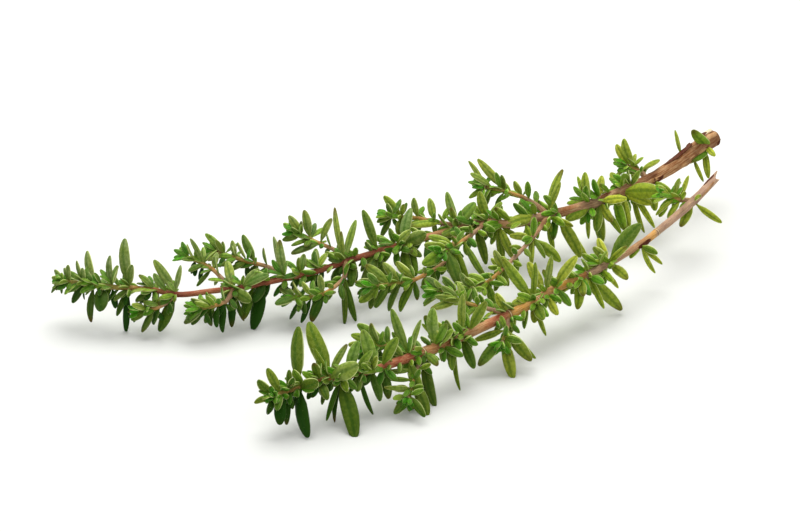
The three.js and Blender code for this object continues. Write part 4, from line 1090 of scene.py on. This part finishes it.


# Flakes: strips of bark that lift from the stem, each a thin lens drawn along it; one pale strip on the
# rear cut end is a painted highlight
flakes = {
    "around": 8, "steps": 12, "wander": (0.25, 2), "bluntEnd": 0.07, "sunk": 0.2, "liftFrom": 1.5,
    "ragged": 0.3, "raggedness": (6, 2), "patternScale": 100,
}
flakeList = [
    # stem, from x to x, degrees round, width, thickness, lift in mm, tone
    (rear, 61.8, 68.8, 102, 1.7, 0.4, 0.6, "bark"),
    (rear, 62.8, 68.2, 88, 0.7, 0.24, 0.16, "rust"),
    (rear, 67.0, 68.7, 118, 1.2, 0.7, 0.7, "bark"),
    (rear, 70.2, 72.2, 108, 1.7, 0.7, 0.2, "bark"),
    (rear, 72.6, 74.6, -15, 1.8, 0.5, 0.04, "bark"),
    (rear, 70.8, 73.6, 60, 1.3, 0.3, 0.05, "tan"),
    # painted highlight: a pale strip along the top of the rear cut end, where the light catches it
    (rear, 71.4, 74.4, 100, 1.5, 0.5, 0.16, "pale"),
    (rear, 45.6, 49.2, 75, 0.9, 0.2, 0.05, "umber"),
    (rear, 58.4, 60.6, 5, 1.1, 0.24, 0.06, "bark"),
    (rear, 55.2, 60.4, 20, 1.0, 0.22, 0.06, "tan"),
    (rear, 36.5, 41.8, 50, 1.0, 0.2, 0.04, "brown"),
    (rear, 64.0, 70.6, 10, 0.9, 0.2, 0.06, "tan"),
    (foremost, 54.6, 57.6, 5, 1.2, 0.3, 0.12, "bark"),
    (foremost, 55.4, 57.2, -40, 0.9, 0.36, 0.2, "bark"),
    (foremost, 63.0, 67.4, 60, 0.8, 0.2, 0.05, "grey"),
    (foremost, 34.0, 38.4, 40, 0.9, 0.2, 0.05, "gold"),
    (foremost, 69.4, 72.6, 20, 0.7, 0.2, 0.08, "brown"),
    (foremost, 71.0, 74.2, 112, 0.7, 0.26, 0.04, "bark"),
]


def flakeAlong(stem, startX, endX, degrees, width, thickness, lift, tone):
    flake = drawnOut("flake", flakes["around"], flakes["steps"], 1)
    bpy.ops.object.shade_smooth()
    places = readPlaces(flake.data)
    start, end = shareAtX(stem["points"], startX), shareAtX(stem["points"], endX)
    wander, wanderPace = flakes["wander"]
    pace, pacePerSide = flakes["raggedness"]
    for k, (along, y, z) in enumerate(places.copy()):
        along = clamped(along)
        place = frameAt(stem, mix(start, end, along))
        roll = math.radians(degrees) + wander * noise.noise(Vector((along * wanderPace, startX, 0)))
        away = awayAt(place, roll)
        across = np.cross(place["forward"], away)
        body = mix(math.sqrt(4 * along * (1 - along)), 1, flakes["bluntEnd"])
        stout = between(stem["stouter"], place["point"][0])
        raised = (place["radius"] * stout - thickness * flakes["sunk"]
                  + lift * along ** flakes["liftFrom"])
        ragged = 1 + flakes["ragged"] * noise.noise(Vector((along * pace, y * pacePerSide, startX)))
        places[k] = (place["point"] + away * (raised + z * thickness / 2 * body)
                     + across * y * width / 2 * body * ragged)
    writePlaces(flake.data, (places - origin) * mm)
    wrapUv(flake.data, readPlaces(flake.data)[:, 0] * flakes["patternScale"], 0 * places[:, 0] + 0.5)
    tintPoints(flake.data, "barkTone", colour(wood["tones"][tone])[:3])
    tintPoints(flake.data, "barkMarks", (0, 0, 0))
    return flake


# Buds: the small leaves that crowd in the axils, in pairs on a short axis of their own, the
# young leaves that fill the stems between the listed nodes, and the tight heart at each tip
buds = {
    "mainPairs": 2, "shootPairs": 1, "mainSize": (3.2, 5.6), "shootSize": (2.9, 4.6),
    "lean": (0.5, 1.1), "spread": (0.95, 0.35), "step": 0.55, "smaller": 0.78,
    "footOut": 0.8, "upright": (0.1, 0.2, 1), "radius": 0.2,
    "spreadJitter": (0.8, 1.2), "lengthJitter": (0.85, 1.15), "turnJitter": 0.5,
    "bareBeyond": {"rear_stem": 56, "front_stem": 52},
    "tipReach": 7, "tipSize": 0.55,
}
fillers = {
    "between": {"rear_stem": [(-76, -54), (-34.5, -28), (-22, 13), (24, 34), (44, 55)],
                "front_stem": [(-29, 15), (22, 43)]},
    "onShoots": (0.25, 0.97), "step": 2.4, "clear": 0.9, "turnJitter": (0.6, 0.3),
    "size": {"main": (3.2, 5.4), "shoot": (3.0, 4.8)}, "lean": (0.7, 1.15),
}
hearts = {
    "leaves": 4, "length": {"main": (1.4, 2.2), "shoot": (2.0, 3.2)}, "lean": (0.12, 0.45),
    "turnJitter": 0.3,
}
extraLeaves = {          # from x on a stem to x, u, n on the board, some with degrees round the stem
    "front_stem": [
        (8, 7.4, -9.6, 3), (8, 10.8, -13.2, 3), (9, 12.2, -14.6, 3), (10, 5.6, -11.4, 2),
        (-12, -9.6, -17.2, 2), (-10, -6.4, -19.4, 2), (-6, -8.6, -14.6, 3), (-4, -2.6, -30.6, 2),
        (2, 4.6, -30.2, 3), (-3, -5.4, -29.4, 2), (14, 11.4, -20.8, 2), (20, 17.2, -12.4, 2),
    ],
    "rear_stem": [
        (-34, -36.4, -12.4, 1), (2, 3.4, -2.4, 4), (6, 8.6, -3.6, 4), (10, 6.4, -1.2, 3),
        (29, 31.2, 4.6, 3), (50, 52.2, 8.2, 3), (71.6, 68.2, 31.8, 6.8, -46),
        (71.2, 68.0, 24.6, 5.2, -42),
    ],
}


def budLeaves(stem, share, roll, pairs, size, draw):
    place = frameAt(stem, share)
    away = awayAt(place, roll)
    lean = mix(*buds["lean"], draw())
    axis = unit(place["tipward"] * math.cos(lean) + away * math.sin(lean))
    side = unit(np.cross(axis, buds["upright"]))
    foot = place["point"] + away * place["radius"] * buds["footOut"]
    leaves = []
    for pair in range(pairs):
        here = {"point": foot + axis * pair * buds["step"], "tipward": axis, "side": side,
                "top": np.cross(side, axis), "radius": buds["radius"]}
        for half in range(2):
            spread = (mix(*buds["spread"], pair / max(pairs - 1, 1))
                      * mix(*buds["spreadJitter"], draw()))
            length = size * buds["smaller"] ** pair * mix(*buds["lengthJitter"], draw())
            turn = pair * math.pi / 2 + roll + half * math.pi + buds["turnJitter"] * (draw() - 0.5)
            leaves.append(leafAround("bud", here, turn, spread, length, draw))
    return leaves


def fillerShares(stem):     # places between the listed nodes where more leaves stand
    points = stem["points"]
    length = pathLength(points)
    ranges = [fillers["onShoots"]]
    if stem["isMain"]:
        ranges = [(shareAtX(points, a), shareAtX(points, b))
                  for a, b in fillers["between"][stem["name"]]]
    nodes = [shareAtX(points, node["x"]) for node in stem["nodes"]]
    shares = [share for a, b in ranges for share in np.arange(a, b, fillers["step"] / length)]
    return [share for share in shares
            if min(abs(share - node) for node in nodes) * length > fillers["clear"]]


def fineLeaves(stem, draw):
    leaves = []
    main = stem["isMain"]
    sort = "main" if main else "shoot"
    jitter, middle = fillers["turnJitter"]
    for k, share in enumerate(fillerShares(stem)):
        place = frameAt(stem, share)
        for half in range(2):
            roll = (k % 2) * math.pi / 2 + half * math.pi + jitter * (draw() - middle)
            lean = mix(*fillers["lean"], draw())
            length = mix(*fillers["size"][sort], draw())
            leaves.append(leafAround("young", place, roll, lean, length, draw))
    for node in stem["nodes"]:
        if main and node["x"] > buds["bareBeyond"][stem["name"]]:
            continue
        share = shareAtX(stem["points"], node["x"])
        first = draw() * math.pi
        for half in range(2):
            pairs, size = buds["shootPairs"], mix(*buds["shootSize"], draw())
            if main:
                pairs, size = buds["mainPairs"], mix(*buds["mainSize"], draw())
                fromTip = (node["x"] - stem["route"][0][0]) / buds["tipReach"]
                size *= mix(buds["tipSize"], 1, min(fromTip, 1))
            leaves += budLeaves(stem, share, first + half * math.pi, pairs, size, draw)
    end = frameAt(stem, 0 if main else 1)
    for k in range(hearts["leaves"]):
        roll = (k + hearts["turnJitter"] * draw()) * 2 * math.pi / hearts["leaves"]
        lean = mix(*hearts["lean"], draw())
        length = mix(*hearts["length"][sort], draw())
        leaves.append(leafAround("heart", end, roll, lean, length, draw))
    for x, *target in extraLeaves.get(stem["name"], []):
        place = frameAt(stem, shareAtX(stem["points"], x))
        leaves.append(leafTo("young", place, target[:3], draw, *target[3:]))
    return leaves


# How each leaf's colours are chosen, from its age, from where it stands and from how it hangs, which
# paints light and shade on it
tints = {
    "age": {"listed": 0.08, "young": 0.35, "rosette": 0.75, "bud": 0.5, "heart": 0.95},
    "ageJitter": 0.3,
    "yellowFrom": (-25, 50),       # x where leaves begin to be yellower, and x where all are
    "measuredTone": 0.7, "measuredLighter": 0.5,
    "dryness": (-1.5, 0.7), "warmth": (0.15, 0.8), "warmthJitter": 0.5,
    # greyness grows as a leaf rises: the felt's own grey, and painted light on leaves that face the top
    # light
    "grey": (0.4, 1.0), "greyRightward": 0.6, "greyJitter": (0.35, 1), "greyYoung": 0.8,
    # painted shade: a random darkening, and more of it on leaves that hang down on the left
    "shadeJitter": 0.3, "paintedShadeHanging": 0.8, "mostShade": 0.95,
    "paintedShadeUpTo": (-18, -10),        # x up to which the front sprig's leaves carry painted shade, and x where it ends
    "paintedShadeTone": 0.5, "paintedShadeGrey": 0.9,
}


def tintLeaf(stem, leaf, draw):      # yellower to the right; hanging ones darker with painted shade, raised ones greyer with their felt and painted light
    x = leaf["tip"][0]
    rightward = np.interp(x, tints["yellowFrom"], (0, 1))
    rise = up.dot(leaf["tip"] - leaf["root"]) / leaf["length"]
    tone = draw()
    if leaf["measured"]:
        tone = mix(tone * tints["measuredTone"], 1, tints["measuredLighter"] * rightward)
    age = clamped(tints["age"][leaf["kind"]] + tints["ageJitter"] * (draw() - 0.5))
    dryness = max(mix(*tints["dryness"], draw()), 0)
    warmth = clamped(mix(*tints["warmth"], rightward)
                     + tints["warmthJitter"] * (draw() - 0.5))
    # painted light: a raised leaf is greyer and paler, as if its felt caught the top light
    greyness = (mix(*tints["grey"], max(rise, 0)) * (1 - tints["greyRightward"] * rightward)
                * mix(*tints["greyJitter"], draw()) * (1 - tints["greyYoung"] * age))
    # painted shade: leaves that hang down on the left are darkened as if out of the light, on top of a
    # random darkening
    shade = (tints["shadeJitter"] * draw()
             + tints["paintedShadeHanging"] * max(-rise, 0) * (1 - rightward))
    # painted shade: the front sprig's leaves near its tip are darker and less grey
    if stem["name"].startswith("front"):
        dark = np.interp(x, tints["paintedShadeUpTo"], (1, 0))
        tone *= 1 - tints["paintedShadeTone"] * dark
        greyness *= 1 - tints["paintedShadeGrey"] * dark
    leaf.update(tone=tone, age=age, dryness=dryness, warmth=warmth, greyness=greyness,
                shade=min(shade, tints["mostShade"]))


# Hairs: short spikes on the wood and at random points of the leaves
hairs = {
    "woodEach": 0.55, "leafEach": 0.3,       # share of a piece's points that carry one
    "length": (0.12, 0.34), "thick": 0.03, "rooted": 0.03, "lowest": 0.6,      # mm
    "spread": 0.3,
    "bareFrom": 105,                         # mm along x and y together, the old wood
    "seeds": 1e6,
}


def hairBlank():
    deselectAll()
    bpy.ops.mesh.primitive_cone_add(vertices=3, radius1=0.5, radius2=0, depth=1,
                                    location=(0, 0, 0.5), end_fill_type="NGON")
    blank = bpy.context.object
    blank.name = "blank_hair"
    bpy.ops.object.transform_apply(location=True)
    return blank


def unitRows(rows):
    return rows / np.linalg.norm(rows, axis=1)[:, None]


hairSpike = hairBlank()


def grownHairs(piece, each, draw):     # copies of one spike, none of them on the old wood
    mesh = piece.data
    normals = np.empty(len(mesh.vertices) * 3, np.float32)
    mesh.vertices.foreach_get("normal", normals)
    roots = readPlaces(mesh)
    random = np.random.default_rng(int(draw() * hairs["seeds"]))
    chosen = np.flatnonzero((random.random(len(roots)) < each)
                            & (roots[:, 2] > hairs["lowest"] * mm)
                            & (roots[:, 0] + roots[:, 1] < hairs["bareFrom"] * mm))
    count = len(chosen)
    away = unitRows(normals.reshape(-1, 3)[chosen] + hairs["spread"] * random.normal(size=(count, 3)))
    side = unitRows(np.cross(away, random.normal(size=(count, 3))))
    other = np.cross(away, side)
    long = mix(*hairs["length"], random.random(count))[:, None, None] * mm
    thick = hairs["thick"] * mm
    spike = readPlaces(hairSpike.data)
    points = (roots[chosen][:, None, :] - away[:, None, :] * hairs["rooted"] * mm
              + side[:, None, :] * spike[None, :, 0:1] * thick
              + other[:, None, :] * spike[None, :, 1:2] * thick
              + away[:, None, :] * spike[None, :, 2:3] * long)
    faces = [[v + k * len(spike) for v in face.vertices]
             for k in range(count) for face in hairSpike.data.polygons]
    grown = bpy.data.meshes.new(piece.name)
    grown.from_pydata(points.reshape(-1, 3).tolist(), [], faces)
    grown.materials.append(down)
    hair = bpy.data.objects.new(piece.name + "_hair", grown)
    bpy.context.collection.objects.link(hair)
    return hair


for stem in stems:
    draw = seededDraw(stem["seed"] + draws["fineSeed"])
    leaves = stem["leaves"] + fineLeaves(stem, draw)
    for leaf in leaves:
        tintLeaf(stem, leaf, draw)
    foliage = joined(stem["name"] + "_leaves", [laidLeaf(leaf, draw) for leaf in leaves])
    foliage.data.materials.append(leafSkin)
    strips = [flakeAlong(*flake) for flake in flakeList if flake[0] is stem]
    twig = joined(stem["name"] + "_wood", [drawnStem(stem)] + strips)
    twig.data.materials.append(bark)
    leafDown = grownHairs(foliage, hairs["leafEach"], draw)
    twigDown = grownHairs(twig, hairs["woodEach"], draw)
    for piece, finish in ((foliage, "leaf"), (twig, "bark"), (leafDown, "leaf"), (twigDown, "bark")):
        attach(piece, "root")
        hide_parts(stem["name"])
faceCount = sum(len(piece.data.polygons) for piece in bpy.data.objects if piece.type == "MESH")
print("built", len(stems), "leafy stems,", faceCount, "faces")

for blank in [*blanks.values(), hairSpike]:
    bpy.data.objects.remove(blank, do_unlink=True)


# Floor, light and camera
studio = {
    "floorSize": 6, "floorTone": (0.73, 0.736, 0.709, 1), "floorRoughness": 0.7, "floorSpecular": 0.1,
    "frameWidth": 800 / 4.3 * mm, "lens": 1000, "aim": (3 * mm, 22 * mm, 0),
    "elevation": math.radians(30), "clip": (0.1, 50), "sky": 0.66,
    "lamps": {"light_top": ((-0.03, 0.3, 0.6), 0.6, 5.4),          # place, size and power of each
              "light_front": ((0.3, -0.7, 0.7), 0.6, 0.8)},
}


def facing(place):       # turns a lamp or the camera towards the part
    return (-place).to_track_quat("-Z", "Y").to_euler()


def setStudio():
    deselectAll()
    bpy.ops.mesh.primitive_plane_add(size=studio["floorSize"])
    floor = bpy.context.object
    floor.name = "studio_floor"
    material, _, skin = newMaterial("studio_white", studio["floorRoughness"], studio["floorSpecular"])
    skin["Base Color"].default_value = studio["floorTone"]
    floor.data.materials.append(material)

    world = bpy.data.worlds.new("studio_world")
    bpy.context.scene.world = world
    world.use_nodes = True
    world.node_tree.nodes["Background"].inputs[0].default_value = (1, 1, 1, 1)
    world.node_tree.nodes["Background"].inputs[1].default_value = studio["sky"]

    for name, (place, size, power) in studio["lamps"].items():
        bpy.ops.object.light_add(type="AREA", location=place)
        lamp = bpy.context.object
        lamp.name = name
        lamp.data.size = size
        lamp.data.energy = power
        lamp.rotation_euler = facing(Vector(place))

    bpy.ops.object.camera_add()
    camera = bpy.context.object
    camera.name = "studio_camera"
    camera.data.lens = studio["lens"]
    distance = studio["frameWidth"] * studio["lens"] / camera.data.sensor_width
    back = Vector((0, -math.cos(studio["elevation"]), math.sin(studio["elevation"])))
    camera.location = Vector(studio["aim"]) + back * distance
    camera.rotation_euler = facing(back)
    camera.data.clip_start, camera.data.clip_end = studio["clip"]
    bpy.context.scene.camera = camera
    bpy.context.scene.view_settings.view_transform = "Standard"


setStudio()
print("studio set")
